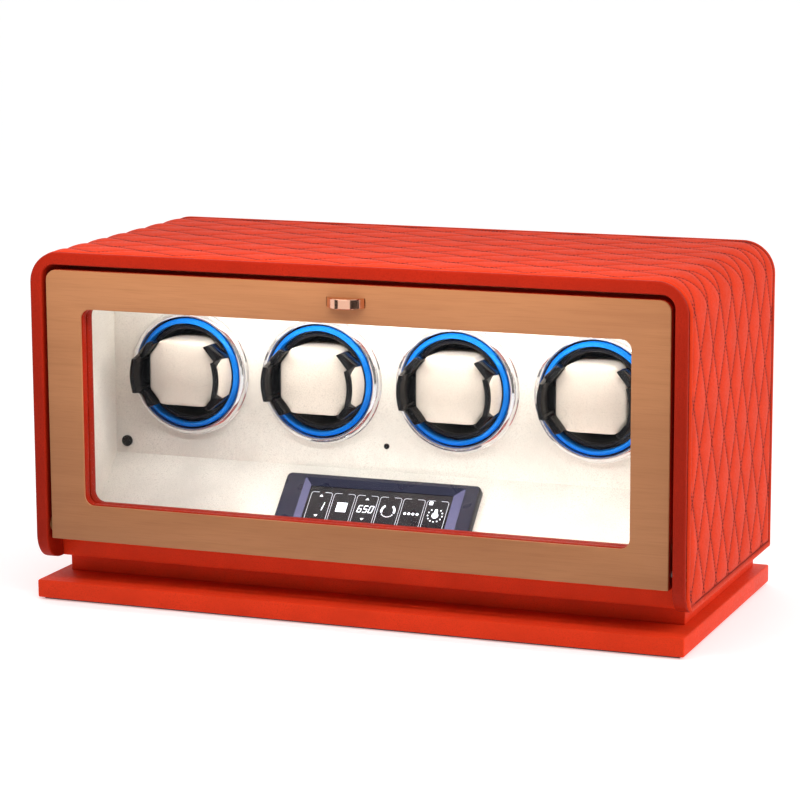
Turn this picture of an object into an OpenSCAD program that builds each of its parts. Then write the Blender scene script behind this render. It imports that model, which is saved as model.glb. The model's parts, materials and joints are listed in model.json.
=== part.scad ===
// Watch winder box for four watches: a leather-covered cabinet on a plinth, with a
// drop-front glazed door, four belt-driven rotors and a touch console.
// Frame: X across the front, Y from the door to the back, Z up. The origin is the
// centre of the underside. All sizes are in millimetres.

/* [Plinth] */
// Width of the base board
base_w = 500; // [490:1:510]
// Depth of the base board
base_d = 235; // [230:1:245]
// Thickness of the base board
base_t = 13.5; // [10:0.5:16]
// Thickness of the felt pad under the base board
pad_t = 1.5; // [1:0.5:3]
// Height of the riser between the base board and the cabinet
riser_h = 14.5; // [12:0.5:18]
// How far the riser stands back from the front plane
riser_setback = 36.5; // [30:0.5:45]

/* [Hood] */
// Width of the hood over its rim
hood_w = 500; // [496:0.5:504]
// Depth of the hood from front to back
hood_d = 233.5; // [230:0.5:240]
// Height of the hood from its bottom edge to its top
hood_h = 232.7; // [231:0.1:236]
// Thickness of the hood's walls
hood_wall = 9.3; // [8:0.1:10]
// Outer radius of the hood's top corners
hood_r = 23; // [20:1:26]
// Inner radius of the hood's top corners
hood_in_r = 10; // [8:1:12]
// Radius of each side's front bottom corner, seen from the side
toe_r = 20; // [15:1:24]
// Thickness of the quilted cover
cover_t = 2.5; // [1.5:0.1:4]
// How far the quilted cover stands back from the hood's front edge
cover_setback = 2.5; // [2:0.5:8]

/* [Door] */
// Thickness of the door
door_t = 20; // [18:0.5:21]
// Gap between the door and the hood at each side
door_gap = 3; // [2:0.1:4]
// Gap between the door and the hood at the top
door_top_gap = 3.8; // [3:0.1:5]
// Height of the door's bottom edge above the hood's bottom edge
door_lift = 17.7; // [17:0.1:19]
// How far the door's face stands back from the front plane
door_setback = 1.5; // [1:0.1:3]
// Radius of the door's top corners
door_r = 8; // [6:0.5:10]
// Width of the door's side stiles
stile_w = 28.35; // [26:0.05:30]
// Height of the door's top rail
top_rail_h = 28.7; // [27:0.1:31]
// Height of the door's bottom rail
bottom_rail_h = 27.5; // [26:0.1:30]
// Radius of the window's corners
window_r = 7; // [5:0.5:9]
// Thickness of the wooden front panel of the door
veneer_t = 2; // [1:0.1:3]
// Depth of the window's reveal in front of the glass
reveal_d = 8.5; // [6:0.5:10]
// Thickness of the glass
glass_t = 3; // [2:0.5:4]
// Radius of the half-round knob
knob_r = 15.5; // [14:0.5:18]
// How far the knob stands out of the door
knob_out = 11; // [8:0.5:13]
// Height of the knob
knob_h = 7; // [5:0.5:9]
// Distance from the door's top edge down to the middle of the knob
knob_drop = 12.9; // [11:0.1:14]

/* [Cabinet] */
// How far the sill stands back from the front plane
sill_setback = 24; // [23.5:0.5:26]
// Height of the sill
sill_h = 19; // [18:0.5:19.5]
// Depth of the sill
sill_d = 12; // [11:0.5:13]
// How far the cabinet's boards stand back from the front plane
board_setback = 26.5; // [26:0.5:28]
// Thickness of the cabinet's boards
board_t = 12.5; // [11:0.5:13]
// Thickness of the padded lining
liner_t = 4.5; // [3:0.5:6]
// How far the fascia stands back from the front plane
fascia_setback = 84; // [82:0.5:86]
// Thickness of the fascia and of the console panel
fascia_t = 6; // [4:0.5:8]
// Rise of the sloping console panel, which is also its run
slope = 50; // [46:0.5:52]
// Thickness of the back cover
back_t = 4; // [3:0.5:5]
// Depth of the recess behind the back cover
back_recess = 7; // [5:0.5:9]

/* [Rotors] */
// Distance from one rotor's axis to the next
rotor_pitch = 106.9; // [105:0.1:108]
// Height of the rotors' axes
rotor_z = 164; // [162:0.5:166]
// Outer radius of the drum
drum_r = 36; // [35:0.1:36.3]
// Thickness of the drum's wall
drum_wall = 2.5; // [2:0.1:2.6]
// Depth of the drum
drum_d = 49; // [46:1:50]
// Radius of the drum's shaft
shaft_r = 4; // [3:0.5:5]
// Radial clearance of a shaft in its bush
run_fit = 0.05; // [0.02:0.01:0.09]
// Outer radius of the bezel's bright ring
bezel_r = 46.8; // [46:0.1:48]
// Outer radius of the bezel's thin flange
bezel_flange_r = 48; // [47.5:0.5:51]
// Outer radius of the blue light ring
light_r = 41.3; // [40:0.1:42]

/* [Watch holders] */
// Width of the cushion
cushion_w = 54; // [50:1:54]
// Height of the cushion
cushion_h = 52; // [48:1:54]
// Depth of the cushion
cushion_d = 48; // [40:1:50]
// How far the cushion's face stands in front of the fascia
cushion_out = 21; // [18:0.5:24]
// How far the holder's cheeks stand in front of the fascia
cheek_out = 32; // [28:0.5:34]
// Distance from the rotor's axis to a cheek's outer face
cheek_x = 35; // [34:0.5:35]
// Thickness of a cheek
cheek_t = 4.5; // [4:0.1:5]
// Half the height of a cheek's upright bar
cheek_h = 13; // [12:0.5:14]

/* [Drive] */
// Radius of the rotor pulley under its belt
rotor_pulley_r = 24; // [20:1:26]
// Radius of the motor pulley under its belt
motor_pulley_r = 6; // [5:0.5:8]
// Distance from a rotor's axis down to its motor's axis
motor_drop = 58; // [56:0.5:60]
// Radius of the gearbox
gearbox_r = 17; // [14:0.5:18]
// Radius of the motor can
motor_r = 12; // [10:0.5:14]
// Radius of the motor's output shaft
motor_shaft_r = 2; // [1.5:0.5:2.5]
// Width of a belt
belt_w = 4; // [3:0.5:4.5]
// Thickness of a belt
belt_t = 1.5; // [1:0.1:2]

/* [Console] */
// Width of the console bezel
console_w = 153; // [146:1:156]
// Height of the console bezel, along the slope
console_h = 48; // [44:1:50]
// Distance from the bend down to the console bezel
console_drop = 10; // [8:0.5:12]
// Width of the touch display
display_w = 112; // [106:1:114]
// Height of the touch display, along the slope
display_h = 30; // [26:1:32]

/* [Hidden] */
$fn = 72;
eps = 0.01;

// Colours
leather = [0.80, 0.22, 0.12];
quilt = [0.90, 0.32, 0.20];
cream = [0.92, 0.88, 0.80];
veneer = [0.78, 0.56, 0.38];
black = [0.09, 0.09, 0.10];
steel = [0.72, 0.73, 0.75];

// Levels, from the underside up
base_z = pad_t;
riser_z = base_z + base_t;
hood_z = riser_z + riser_h;
hood_top = hood_z + hood_h;
ceiling_z = hood_top - hood_wall;
floor_top = hood_z + board_t;
sill_top = hood_z + sill_h;
top_z = ceiling_z - board_t;
lining_top = top_z - liner_t;

// Stations, from the front plane back
front_y = -base_d / 2;
back_y = front_y + hood_d;
door_y = front_y + door_setback;
door_back = door_y + door_t;
glass_y = door_y + reveal_d;
sill_y = front_y + sill_setback;
board_y = front_y + board_setback;
fascia_y = front_y + fascia_setback;
fascia_back = fascia_y + fascia_t;
cover_y = back_y - back_recess;
carcass_back = cover_y - back_t;

// Half widths
hood_in = hood_w / 2 - hood_wall;
lining_out = hood_in - board_t;
lining_in = lining_out - liner_t;
riser_gap = 0.4;
riser_back = 8;

// Door
door_w = 2 * (hood_in - door_gap);
door_z = hood_z + door_lift;
door_top = ceiling_z - door_top_gap;
door_h = door_top - door_z;
window_w = door_w - 2 * stile_w;
window_h = door_h - top_rail_h - bottom_rail_h;
window_z = door_z + bottom_rail_h;
rebate = 6;
hinge_y = door_y + door_t / 2;
hinge_z = door_z + door_t / 2;
hinge_r = 2.5;
hinge_bush_r = 4.5;
hinge_bush_d = 7;
hinge_flange_r = 6.5;
knob_z = door_top - knob_drop;
magnet_x = 180;
magnet_r = 3.5;
magnet_z = top_z + magnet_r + 0.5;
magnet_gap = 0.4;
strike_w = 20;
strike_h = 8;
strike_t = 1.5;
pin_in = 12;

// Console and fascia
bend_z = sill_top + slope;
slope_y = fascia_y - slope;
console_mid = -console_drop - console_h / 2;
bezel_proud = 6;
display_proud = 2.5;
skirt_w = console_w - 16;
skirt_h = console_h - 8;
receiver_x = -214.5;
receiver_z = 107.8;
receiver_r = 3.2;
led_x = -2;
led_z = 117.5;
led_r = 1.5;

// Back
screw_x = 190;
screw_r = 1.5;
screw_head_r = 3.2;
screw_l = 18;
vent_pitch = 14;
vent_z = 62;
vent_rise = 90;
jack_x = 180;
jack_z = 66;
jack_r = 5.5;
jack_bore_r = 2.75;
jack_bore_d = 9;

// Rotors, counted from the left
rotor_x = [for (i = [0:3]) (i - 1.5) * rotor_pitch];
drum_y = fascia_y - 2.5;
drum_back = drum_y + drum_d;
hub_r = 10;
bezel_hole_r = 45;
hub_d = 7;
bezel_y = fascia_y - 6;
groove_r = light_r + 1.7;
chassis_y = drum_back + hub_d + 10;
chassis_t = 3;
bush_r = 8;
bush_y = chassis_y - 6;
pulley_y = chassis_y + 8;
pulley_w = 8;
pulley_rim = 2.5;
motor_z = rotor_z - motor_drop;
belt_gap = 0.3;

// Holders
cheek_y = fascia_y - cheek_out;
cushion_y = fascia_y - cushion_out;
holder_back = cushion_y + cushion_d + 6;
shoulder_y = bezel_y - 2;
side_pad_t = 2.4;

// A flat shape drawn in X and Z, from y0 back to y1.
module slab(y0, y1) {
    translate([0, y1, 0]) rotate([90, 0, 0]) linear_extrude(y1 - y0) children();
}

// A flat shape drawn in Y and Z, from x0 across to x1.
module bar(x0, x1) {
    translate([x0, 0, 0]) rotate([90, 0, 90]) linear_extrude(x1 - x0) children();
}

// A block between two opposite corners.
module block(low, high) {
    translate(low) cube(high - low);
}

// Turned shapes and cylinders whose own Z lies along Y.
module along_y(x = 0, z = 0) {
    translate([x, 0, z]) rotate([-90, 0, 0]) children();
}

// A cylinder along Y from y0 back to y1.
module rod(x, z, r, y0, y1) {
    along_y(x, z) translate([0, 0, y0]) cylinder(r = r, h = y1 - y0);
}

// A rectangle with round corners, centred on its middle.
module rounded(w, h, r) {
    square([w - 2 * r, h], center = true);
    square([w, h - 2 * r], center = true);
    for (sx = [-1, 1], sz = [-1, 1])
        translate([sx * (w / 2 - r), sz * (h / 2 - r)]) circle(r);
}

// A rectangle that stands on z = 0, with round top corners and a square foot.
module arch(w, h, r) {
    translate([-w / 2, 0]) square([w, h - r]);
    translate([-w / 2 + r, 0]) square([w - 2 * r, h]);
    for (sx = [-1, 1])
        translate([sx * (w / 2 - r), h - r]) circle(r);
}

// Side view of the hood: a rectangle whose front bottom corner is round.
module hood_side(y0, y1, z0, r) {
    rise = hood_h + 2 * cover_t;
    translate([y0 + r, z0]) square([y1 - y0 - r, rise]);
    translate([y0, z0 + r]) square([y1 - y0, rise - r]);
    translate([y0 + r, z0 + r]) circle(r);
}

// The opening of the hood, in front view.
module hood_opening() {
    translate([0, -1]) arch(2 * hood_in, hood_h - hood_wall + 1, hood_in_r);
}

// A place on the sloping console: X across, Y up the slope from the bend, Z outwards.
module on_slope() {
    translate([0, fascia_y, bend_z]) rotate([45, 0, 0]) children();
}

// ---------------------------------------------------------------- plinth

module base_pad() {
    inset = 4;
    color(black) translate([0, 0, pad_t / 2])
        cube([base_w - 2 * inset, base_d - 2 * inset, pad_t], center = true);
}

module base_board() {
    color(leather) block([-base_w / 2, front_y, base_z], [base_w / 2, front_y + base_d, riser_z]);
}

module riser() {
    half = hood_in - riser_gap;
    color(leather) block([-half, front_y + riser_setback, riser_z], [half, back_y - riser_back, hood_z]);
}

// ---------------------------------------------------------------- hood

module hood_shell() {
    color(leather) difference() {
        intersection() {
            slab(front_y, back_y) translate([0, hood_z]) difference() {
                arch(hood_w, hood_h, hood_r);
                hood_opening();
            }
            bar(-hood_w, hood_w) hood_side(front_y, back_y, hood_z, toe_r);
        }
        for (sx = [-1, 1])
            translate([sx * (hood_in + 3.5), hinge_y, hinge_z]) rotate([0, 90, 0])
                cylinder(r = hinge_bush_r, h = hinge_bush_d + eps, center = true);
    }
}

module quilted_cover() {
    y0 = front_y + cover_setback;
    color(quilt) intersection() {
        slab(y0, back_y) translate([0, hood_z]) difference() {
            arch(hood_w + 2 * cover_t, hood_h + cover_t, hood_r + cover_t);
            arch(hood_w, hood_h, hood_r);
        }
        bar(-hood_w, hood_w) hood_side(y0, back_y, hood_z, toe_r - cover_setback);
    }
}

// ---------------------------------------------------------------- cabinet

// The sill's corner, which the side boards and their lining are notched around.
module sill_notch() {
    block([-hood_w, front_y, hood_z], [hood_w, sill_y + sill_d, sill_top]);
}

module cabinet_floor() {
    color("burlywood") difference() {
        block([-hood_in, sill_y + sill_d, hood_z], [hood_in, carcass_back, floor_top]);
        screw_places() screw_shank();
    }
}

module front_sill() {
    color(leather) block([-hood_in, sill_y, hood_z], [hood_in, sill_y + sill_d, sill_top]);
}

module cabinet_sides() {
    color("burlywood") difference() {
        for (side = [0, 1])
            mirror([side, 0, 0]) block([lining_out, board_y, floor_top], [hood_in, carcass_back, top_z]);
        sill_notch();
        screw_places() screw_shank();
    }
}

module cabinet_top() {
    half = hood_in - hood_in_r;
    color("burlywood") difference() {
        block([-half, board_y, top_z], [half, carcass_back, ceiling_z]);
        for (sx = [-1, 1])
            rod(sx * magnet_x, magnet_z, magnet_r, board_y - 1, board_y + 6);
        screw_places() screw_shank();
    }
}

module wall_liners() {
    color(cream) difference() {
        for (side = [0, 1])
            mirror([side, 0, 0]) block([lining_in, board_y, floor_top], [lining_out, fascia_back, lining_top]);
        sill_notch();
    }
}

module ceiling_liner() {
    color(cream) block([-lining_out, board_y, lining_top], [lining_out, fascia_back, top_z]);
}

module fascia_panel() {
    color(cream) difference() {
        block([-lining_in, fascia_y, bend_z], [lining_in, fascia_back, lining_top]);
        for (x = rotor_x)
            rod(x, rotor_z, bezel_hole_r, fascia_y - 1, fascia_back + 1);
        rod(receiver_x, receiver_z, receiver_r, fascia_y - 1, fascia_back + 1);
        rod(led_x, led_z, led_r, fascia_y - 1, fascia_back + 1);
    }
}

module console_panel() {
    skew = fascia_t * sqrt(2);
    color(cream) difference() {
        bar(-lining_in, lining_in) polygon([
            [slope_y, sill_top],
            [fascia_y, bend_z],
            [fascia_back, bend_z],
            [fascia_back, bend_z + fascia_t - skew],
            [slope_y + skew, sill_top]]);
        on_slope() translate([0, console_mid, 0]) cube([skirt_w, skirt_h, 5 * fascia_t], center = true);
    }
}

module console_bezel() {
    lip = 4;
    color([0.20, 0.21, 0.30]) on_slope() translate([0, console_mid, 0]) difference() {
        union() {
            linear_extrude(bezel_proud) rounded(console_w, console_h, 4);
            translate([0, 0, -fascia_t - 2]) linear_extrude(fascia_t + 2)
                square([skirt_w, skirt_h], center = true);
        }
        translate([0, 0, -fascia_t - 3]) linear_extrude(fascia_t + 3 + display_proud + 0.6)
            square([display_w, display_h], center = true);
        hull() {
            translate([0, 0, display_proud + 0.5]) linear_extrude(eps)
                square([display_w, display_h], center = true);
            translate([0, 0, bezel_proud]) linear_extrude(eps)
                square([display_w + 2 * lip, display_h + 2 * lip], center = true);
        }
    }
}

module touch_display() {
    panel_t = 3;
    color([0.05, 0.05, 0.06]) on_slope() translate([0, console_mid, display_proud - panel_t / 2])
        cube([display_w, display_h, panel_t], center = true);
}

module control_board() {
    board_w = 128;
    board_h = 40;
    laminate_t = 1.6;
    depth = fascia_t + 6;
    // Each chip's place, width, height and thickness
    chips = [[-28, 2, 22, 14, 4], [14, -4, 12, 12, 4], [44, 6, 18, 8, 8]];
    color([0.05, 0.30, 0.16]) on_slope() translate([0, console_mid, -depth]) {
        translate([0, 0, -laminate_t / 2]) cube([board_w, board_h, laminate_t], center = true);
        for (sx = [-1, 1], sz = [-1, 1])
            translate([sx * (board_w / 2 - 4), sz * (board_h / 2 - 4), 0])
                cylinder(r = 2, h = depth - fascia_t - 2);
        for (c = chips)
            translate([c[0], c[1], -laminate_t - c[4] / 2]) cube([c[2], c[3], c[4]], center = true);
    }
}

module remote_receiver() {
    color(black) {
        rod(receiver_x, receiver_z, receiver_r, fascia_y - 1, fascia_back + 4);
        rod(receiver_x, receiver_z, receiver_r + 1, fascia_y - 1.6, fascia_y);
    }
}

module indicator_led() {
    color(black) {
        rod(led_x, led_z, led_r, fascia_y - 0.8, fascia_back + 3);
        rod(led_x, led_z, led_r + 0.6, fascia_y - 0.6, fascia_y);
    }
}

module led_strip() {
    half = lining_in - 20;
    color("white") block([-half, board_y + 6, lining_top - 4], [half, board_y + 16, lining_top]);
}

// ---------------------------------------------------------------- back

// Where the back cover's screws go: three along the top and bottom, one in each side.
module screw_places() {
    inset = board_t / 2;
    for (x = [-screw_x, 0, screw_x])
        for (z = [hood_z + inset, ceiling_z - inset])
            translate([x, 0, z]) children();
    for (sx = [-1, 1])
        translate([sx * (hood_in - inset), 0, (floor_top + top_z) / 2]) children();
}

module screw_shank() {
    rod(0, 0, screw_r, cover_y - screw_l, cover_y + eps);
}

module back_cover() {
    slot_w = 5;
    slot_h = 34;
    color(black) difference() {
        slab(carcass_back, cover_y) translate([0, hood_z]) difference() {
            arch(2 * hood_in, ceiling_z - hood_z, hood_in_r);
            for (i = [-6:6], row = [0, 1])
                translate([i * vent_pitch, vent_z + row * vent_rise])
                    square([slot_w, slot_h], center = true);
        }
        rod(jack_x, jack_z, jack_r, carcass_back - 1, cover_y + 1);
        screw_places() screw_shank();
    }
}

module back_screws() {
    color(steel) screw_places() {
        screw_shank();
        rod(0, 0, screw_head_r, cover_y, cover_y + 1.8);
    }
}

// The power inlet: a barrel socket with its centre pin.
module dc_jack() {
    mouth = cover_y + 2;
    color(black) {
        difference() {
            union() {
                rod(jack_x, jack_z, jack_r, cover_y - 14, cover_y);
                rod(jack_x, jack_z, jack_r + 2, cover_y, mouth);
            }
            rod(jack_x, jack_z, jack_bore_r, mouth - jack_bore_d, mouth + 1);
        }
        rod(jack_x, jack_z, 1, mouth - jack_bore_d - 1, mouth - 1);
    }
}

// ---------------------------------------------------------------- rotors

module rotor_bezel(k) {
    sleeve_r = bezel_hole_r - 0.2;
    color(steel) along_y(rotor_x[k], rotor_z) rotate_extrude() polygon([
        [groove_r, bezel_y],
        [bezel_r - 1.2, bezel_y],
        [bezel_r, bezel_y + 1.2],
        [bezel_r, fascia_y - 1.2],
        [bezel_flange_r, fascia_y - 1],
        [bezel_flange_r, fascia_y],
        [sleeve_r, fascia_y],
        [sleeve_r, fascia_back],
        [groove_r, fascia_back]]);
}

// The lit ring round each drum, and the flange that seats it behind the bezel's sleeve.
module light_rings() {
    inner_r = drum_r + 0.5;
    seat_r = bezel_hole_r - 1;
    seat_t = 2;
    color([0.05, 0.35, 0.95])
        for (x = rotor_x)
            along_y(x, rotor_z) rotate_extrude()
                polygon([
                    [inner_r, bezel_y + 3.5],
                    [inner_r + 0.5, bezel_y],
                    [inner_r + 1.2, bezel_y],
                    [light_r, bezel_y + 1.5],
                    [light_r, fascia_back],
                    [seat_r, fascia_back],
                    [seat_r, fascia_back + seat_t],
                    [inner_r + 0.3, fascia_back + seat_t]]);
}

module rotor_drum(k) {
    in_r = drum_r - drum_wall;
    floor_t = 3;
    rib_w = 2;
    rib_t = 1.2;
    rib_y = drum_y + 4;
    color(black) along_y(rotor_x[k], rotor_z) {
        rotate_extrude() polygon([
            [in_r, drum_y],
            [drum_r, drum_y],
            [drum_r, drum_back],
            [hub_r, drum_back],
            [hub_r, drum_back + hub_d],
            [shaft_r, drum_back + hub_d],
            [shaft_r, drum_back - floor_t],
            [in_r, drum_back - floor_t]]);
        for (a = [45:90:315])
            rotate([0, 0, a]) translate([in_r - rib_t / 2, -rib_w / 2, rib_y])
                cube([rib_t, rib_w, drum_back - floor_t + eps - rib_y]);
    }
}

module rotor_shaft(k) {
    root = drum_back - 6;
    color(steel) along_y(rotor_x[k], rotor_z) {
        translate([0, 0, root]) cylinder(r = shaft_r, h = pulley_y + pulley_w + 6 - root);
        belt_pulley(rotor_pulley_r);
        translate([0, 0, pulley_y + pulley_w + 2]) cylinder(r = shaft_r + 3, h = 1.5);
    }
}

// A flanged pulley about Z, from pulley_y on; r is its radius under the belt.
module belt_pulley(r) {
    flange_t = 1.5;
    translate([0, 0, pulley_y]) cylinder(r = r, h = pulley_w);
    for (y = [pulley_y, pulley_y + pulley_w - flange_t])
        translate([0, 0, y]) cylinder(r = r + pulley_rim, h = flange_t);
}

// ---------------------------------------------------------------- drive

module drive_chassis() {
    half = lining_out - 6;
    foot_d = 24;
    color([0.45, 0.46, 0.48]) difference() {
        union() {
            block([-half, chassis_y, floor_top], [half, chassis_y + chassis_t, rotor_z + 26]);
            block([-half, chassis_y, floor_top], [half, chassis_y + foot_d, floor_top + chassis_t]);
        }
        for (x = rotor_x) {
            rod(x, rotor_z, bush_r, chassis_y - 1, chassis_y + chassis_t + 1);
            rod(x, motor_z, motor_shaft_r + 3, chassis_y - 1, chassis_y + chassis_t + 1);
        }
    }
}

module shaft_bushes() {
    flange_t = 2;
    color("goldenrod") for (x = rotor_x)
        difference() {
            union() {
                rod(x, rotor_z, bush_r, bush_y, chassis_y + chassis_t + 3);
                rod(x, rotor_z, bush_r + 3, bush_y - flange_t, bush_y);
            }
            rod(x, rotor_z, shaft_r + run_fit, bush_y - flange_t - 1, chassis_y + chassis_t + 4);
        }
}

module gear_motors() {
    gearbox_y = chassis_y - 18;
    can_y = gearbox_y - 28;
    bore_d = 8;
    color([0.62, 0.63, 0.66]) for (x = rotor_x)
        difference() {
            union() {
                rod(x, motor_z, gearbox_r, gearbox_y, chassis_y);
                rod(x, motor_z, motor_r, can_y, gearbox_y);
                rod(x, motor_z, 3.5, can_y - 2.5, can_y);
            }
            rod(x, motor_z, motor_shaft_r + run_fit, chassis_y - bore_d, chassis_y + 1);
        }
}

module motor_pulley(k) {
    root = chassis_y - 7;
    color([0.85, 0.85, 0.80]) along_y(rotor_x[k], motor_z) {
        translate([0, 0, root]) cylinder(r = motor_shaft_r, h = pulley_y + pulley_w + 2 - root);
        belt_pulley(motor_pulley_r);
    }
}

// One belt's outline at a distance off its pulleys.
module belt_outline(off) {
    hull() {
        translate([0, rotor_z]) circle(rotor_pulley_r + off, $fn = 60);
        translate([0, motor_z]) circle(motor_pulley_r + off, $fn = 60);
    }
}

module drive_belts() {
    y0 = pulley_y + (pulley_w - belt_w) / 2;
    color([0.15, 0.15, 0.15]) for (x = rotor_x)
        translate([x, 0, 0]) slab(y0, y0 + belt_w) difference() {
            belt_outline(belt_gap + belt_t);
            belt_outline(belt_gap);
        }
}

// ---------------------------------------------------------------- watch holders

// One side of a holder, at +X: a bar in front of the bezel with a wing at each end,
// and an arm that runs back into the drum.
module cheek() {
    x0 = cheek_x - cheek_t;
    nose_r = cheek_t / 2;
    arm_x = 27.5;
    arm_t = 4;
    arm_h = 9;
    wing_back = 10.5;
    wing_tip = [25, 24.8];
    wing_heel = [20, 23.2];
    block([x0, cheek_y + nose_r, -cheek_h], [cheek_x, shoulder_y, cheek_h]);
    translate([x0 + nose_r, cheek_y + nose_r, -cheek_h]) cylinder(r = nose_r, h = 2 * cheek_h);
    block([arm_x, shoulder_y - 5, -arm_h], [arm_x + arm_t, holder_back, arm_h]);
    for (side = [0, 1])
        mirror([0, 0, side]) slab(cheek_y + wing_back, shoulder_y) polygon([
            [x0, cheek_h - 2],
            [cheek_x, cheek_h - 2],
            [cheek_x, cheek_h + 2.8],
            wing_tip,
            wing_heel,
            [x0 - 1.5, cheek_h]]);
}

module watch_holder(k) {
    plate_t = 3;
    color(black) translate([rotor_x[k], 0, rotor_z]) {
        cheek();
        mirror([1, 0, 0]) cheek();
        rod(0, 0, drum_r - drum_wall - 1, holder_back - plate_t, holder_back);
    }
}

// The cushion that a watch is strapped round, and the pad on each cheek's outer face.
module watch_cushion(k) {
    cut_x = 13;
    cut_z = 14.5;
    w = cushion_w / 2;
    h = cushion_h / 2;
    color(cream) translate([rotor_x[k], 0, rotor_z]) {
        slab(cushion_y, cushion_y + cushion_d) polygon([
            [w, h - cut_z], [w - cut_x, h], [cut_x - w, h], [-w, h - cut_z],
            [-w, cut_z - h], [cut_x - w, -h], [w - cut_x, -h], [w, cut_z - h]]);
        for (sx = [-1, 1])
            translate([sx * (cheek_x + side_pad_t / 2), (cheek_y + 3 + shoulder_y) / 2, 0])
                cube([side_pad_t, shoulder_y - cheek_y - 3, 2 * cheek_h], center = true);
    }
}

// ---------------------------------------------------------------- door

// The door's outline, and its window, in front view.
module door_outline() {
    translate([0, door_z]) arch(door_w, door_h, door_r);
}

module window(grow = 0) {
    translate([0, window_z + window_h / 2])
        rounded(window_w + 2 * grow, window_h + 2 * grow, window_r + grow);
}

module hinge_places() {
    for (sx = [-1, 1])
        mirror([sx < 0 ? 1 : 0, 0, 0]) translate([0, hinge_y, hinge_z]) rotate([0, 90, 0]) children();
}

module door_core() {
    color(leather) difference() {
        slab(door_y + veneer_t, door_back) door_outline();
        slab(door_y, door_back + 1) window();
        slab(glass_y, door_back + 1) window(rebate);
        hinge_places() translate([0, 0, door_w / 2 - pin_in]) cylinder(r = hinge_r, h = pin_in + 1);
        for (sx = [-1, 1])
            strike_plate(sx);
    }
}

module door_panel() {
    color(veneer) slab(door_y, door_y + veneer_t) difference() {
        door_outline();
        window();
    }
}

module door_glass() {
    color([0.80, 0.90, 0.90, 0.35]) slab(glass_y, glass_y + glass_t) window(rebate);
}

module glass_retainer() {
    color(leather) slab(glass_y + glass_t, door_back) difference() {
        window(rebate);
        window(1);
    }
}

module door_knob() {
    color([0.85, 0.55, 0.42]) intersection() {
        translate([0, door_y + knob_r - knob_out, knob_z - knob_h / 2]) cylinder(r = knob_r, h = knob_h);
        block([-knob_r, door_y - knob_out - 1, knob_z - knob_h], [knob_r, door_y, knob_z + knob_h]);
    }
}

// Pins in the door's side edges, which turn in the bushes in the hood.
module hinge_pins() {
    pin_l = pin_in + door_gap + hinge_bush_d - 1;
    color(steel) hinge_places()
        translate([0, 0, door_w / 2 - pin_in]) cylinder(r = hinge_r, h = pin_l);
}

module hinge_bushes() {
    color("goldenrod") hinge_places() difference() {
        union() {
            translate([0, 0, hood_in]) cylinder(r = hinge_bush_r, h = hinge_bush_d);
            translate([0, 0, hood_in - 1]) cylinder(r = hinge_flange_r, h = 1);
        }
        translate([0, 0, hood_in - 2]) cylinder(r = hinge_r + run_fit, h = hinge_bush_d + 3);
    }
}

module strike_plate(sx) {
    translate([sx * magnet_x, door_back - strike_t / 2, magnet_z])
        cube([strike_w, strike_t, strike_h], center = true);
}

module strike_plates() {
    color(steel) for (sx = [-1, 1])
        strike_plate(sx);
}

module door_magnets() {
    color(steel) for (sx = [-1, 1])
        rod(sx * magnet_x, magnet_z, magnet_r, door_back + magnet_gap, board_y + 6);
}

// ---------------------------------------------------------------- nodes

base_pad();
base_board();
riser();
hood_shell();
quilted_cover();
cabinet_floor();
front_sill();
cabinet_sides();
cabinet_top();
wall_liners();
ceiling_liner();
fascia_panel();
console_panel();
console_bezel();
touch_display();
control_board();
remote_receiver();
indicator_led();
led_strip();
drive_chassis();
shaft_bushes();
gear_motors();
drive_belts();
light_rings();
back_cover();
back_screws();
dc_jack();
hinge_bushes();
door_magnets();
door_core();
door_panel();
door_glass();
glass_retainer();
door_knob();
hinge_pins();
strike_plates();
for (k = [0:3]) {
    rotor_bezel(k);
    rotor_drum(k);
    rotor_shaft(k);
    watch_holder(k);
    watch_cushion(k);
    motor_pulley(k);
}
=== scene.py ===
"""The looks of a watch winder box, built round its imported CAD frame.

Lengths are metres in the frame's own axes: X across the front, Y from the door to the
back, Z up. MM turns millimetres into metres."""

import json
import math

import bmesh
import bpy
import numpy as np
from mathutils import Matrix, Vector


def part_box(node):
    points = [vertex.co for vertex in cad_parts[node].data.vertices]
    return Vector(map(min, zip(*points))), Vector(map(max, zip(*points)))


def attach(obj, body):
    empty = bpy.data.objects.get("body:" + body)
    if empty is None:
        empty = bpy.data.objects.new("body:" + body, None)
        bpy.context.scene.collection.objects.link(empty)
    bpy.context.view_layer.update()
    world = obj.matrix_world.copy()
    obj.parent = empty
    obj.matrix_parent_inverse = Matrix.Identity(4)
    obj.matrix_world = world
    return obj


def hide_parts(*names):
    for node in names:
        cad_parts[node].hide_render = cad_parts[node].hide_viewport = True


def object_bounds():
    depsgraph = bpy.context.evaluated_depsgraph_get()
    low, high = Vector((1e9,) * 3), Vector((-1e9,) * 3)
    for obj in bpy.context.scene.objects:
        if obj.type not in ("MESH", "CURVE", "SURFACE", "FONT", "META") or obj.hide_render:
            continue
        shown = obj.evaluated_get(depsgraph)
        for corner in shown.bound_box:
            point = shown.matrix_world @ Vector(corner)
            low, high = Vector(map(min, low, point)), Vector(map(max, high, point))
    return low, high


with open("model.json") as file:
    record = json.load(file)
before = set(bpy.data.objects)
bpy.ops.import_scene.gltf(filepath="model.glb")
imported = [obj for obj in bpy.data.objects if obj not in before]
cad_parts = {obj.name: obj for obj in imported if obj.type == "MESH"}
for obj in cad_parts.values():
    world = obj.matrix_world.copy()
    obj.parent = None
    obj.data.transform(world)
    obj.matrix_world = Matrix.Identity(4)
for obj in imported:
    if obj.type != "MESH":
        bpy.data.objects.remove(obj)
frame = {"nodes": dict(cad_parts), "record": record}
cad_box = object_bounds()

MM = 0.001
ROTORS = (1, 2, 3, 4)
LOW, HIGH = 0, 1


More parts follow.
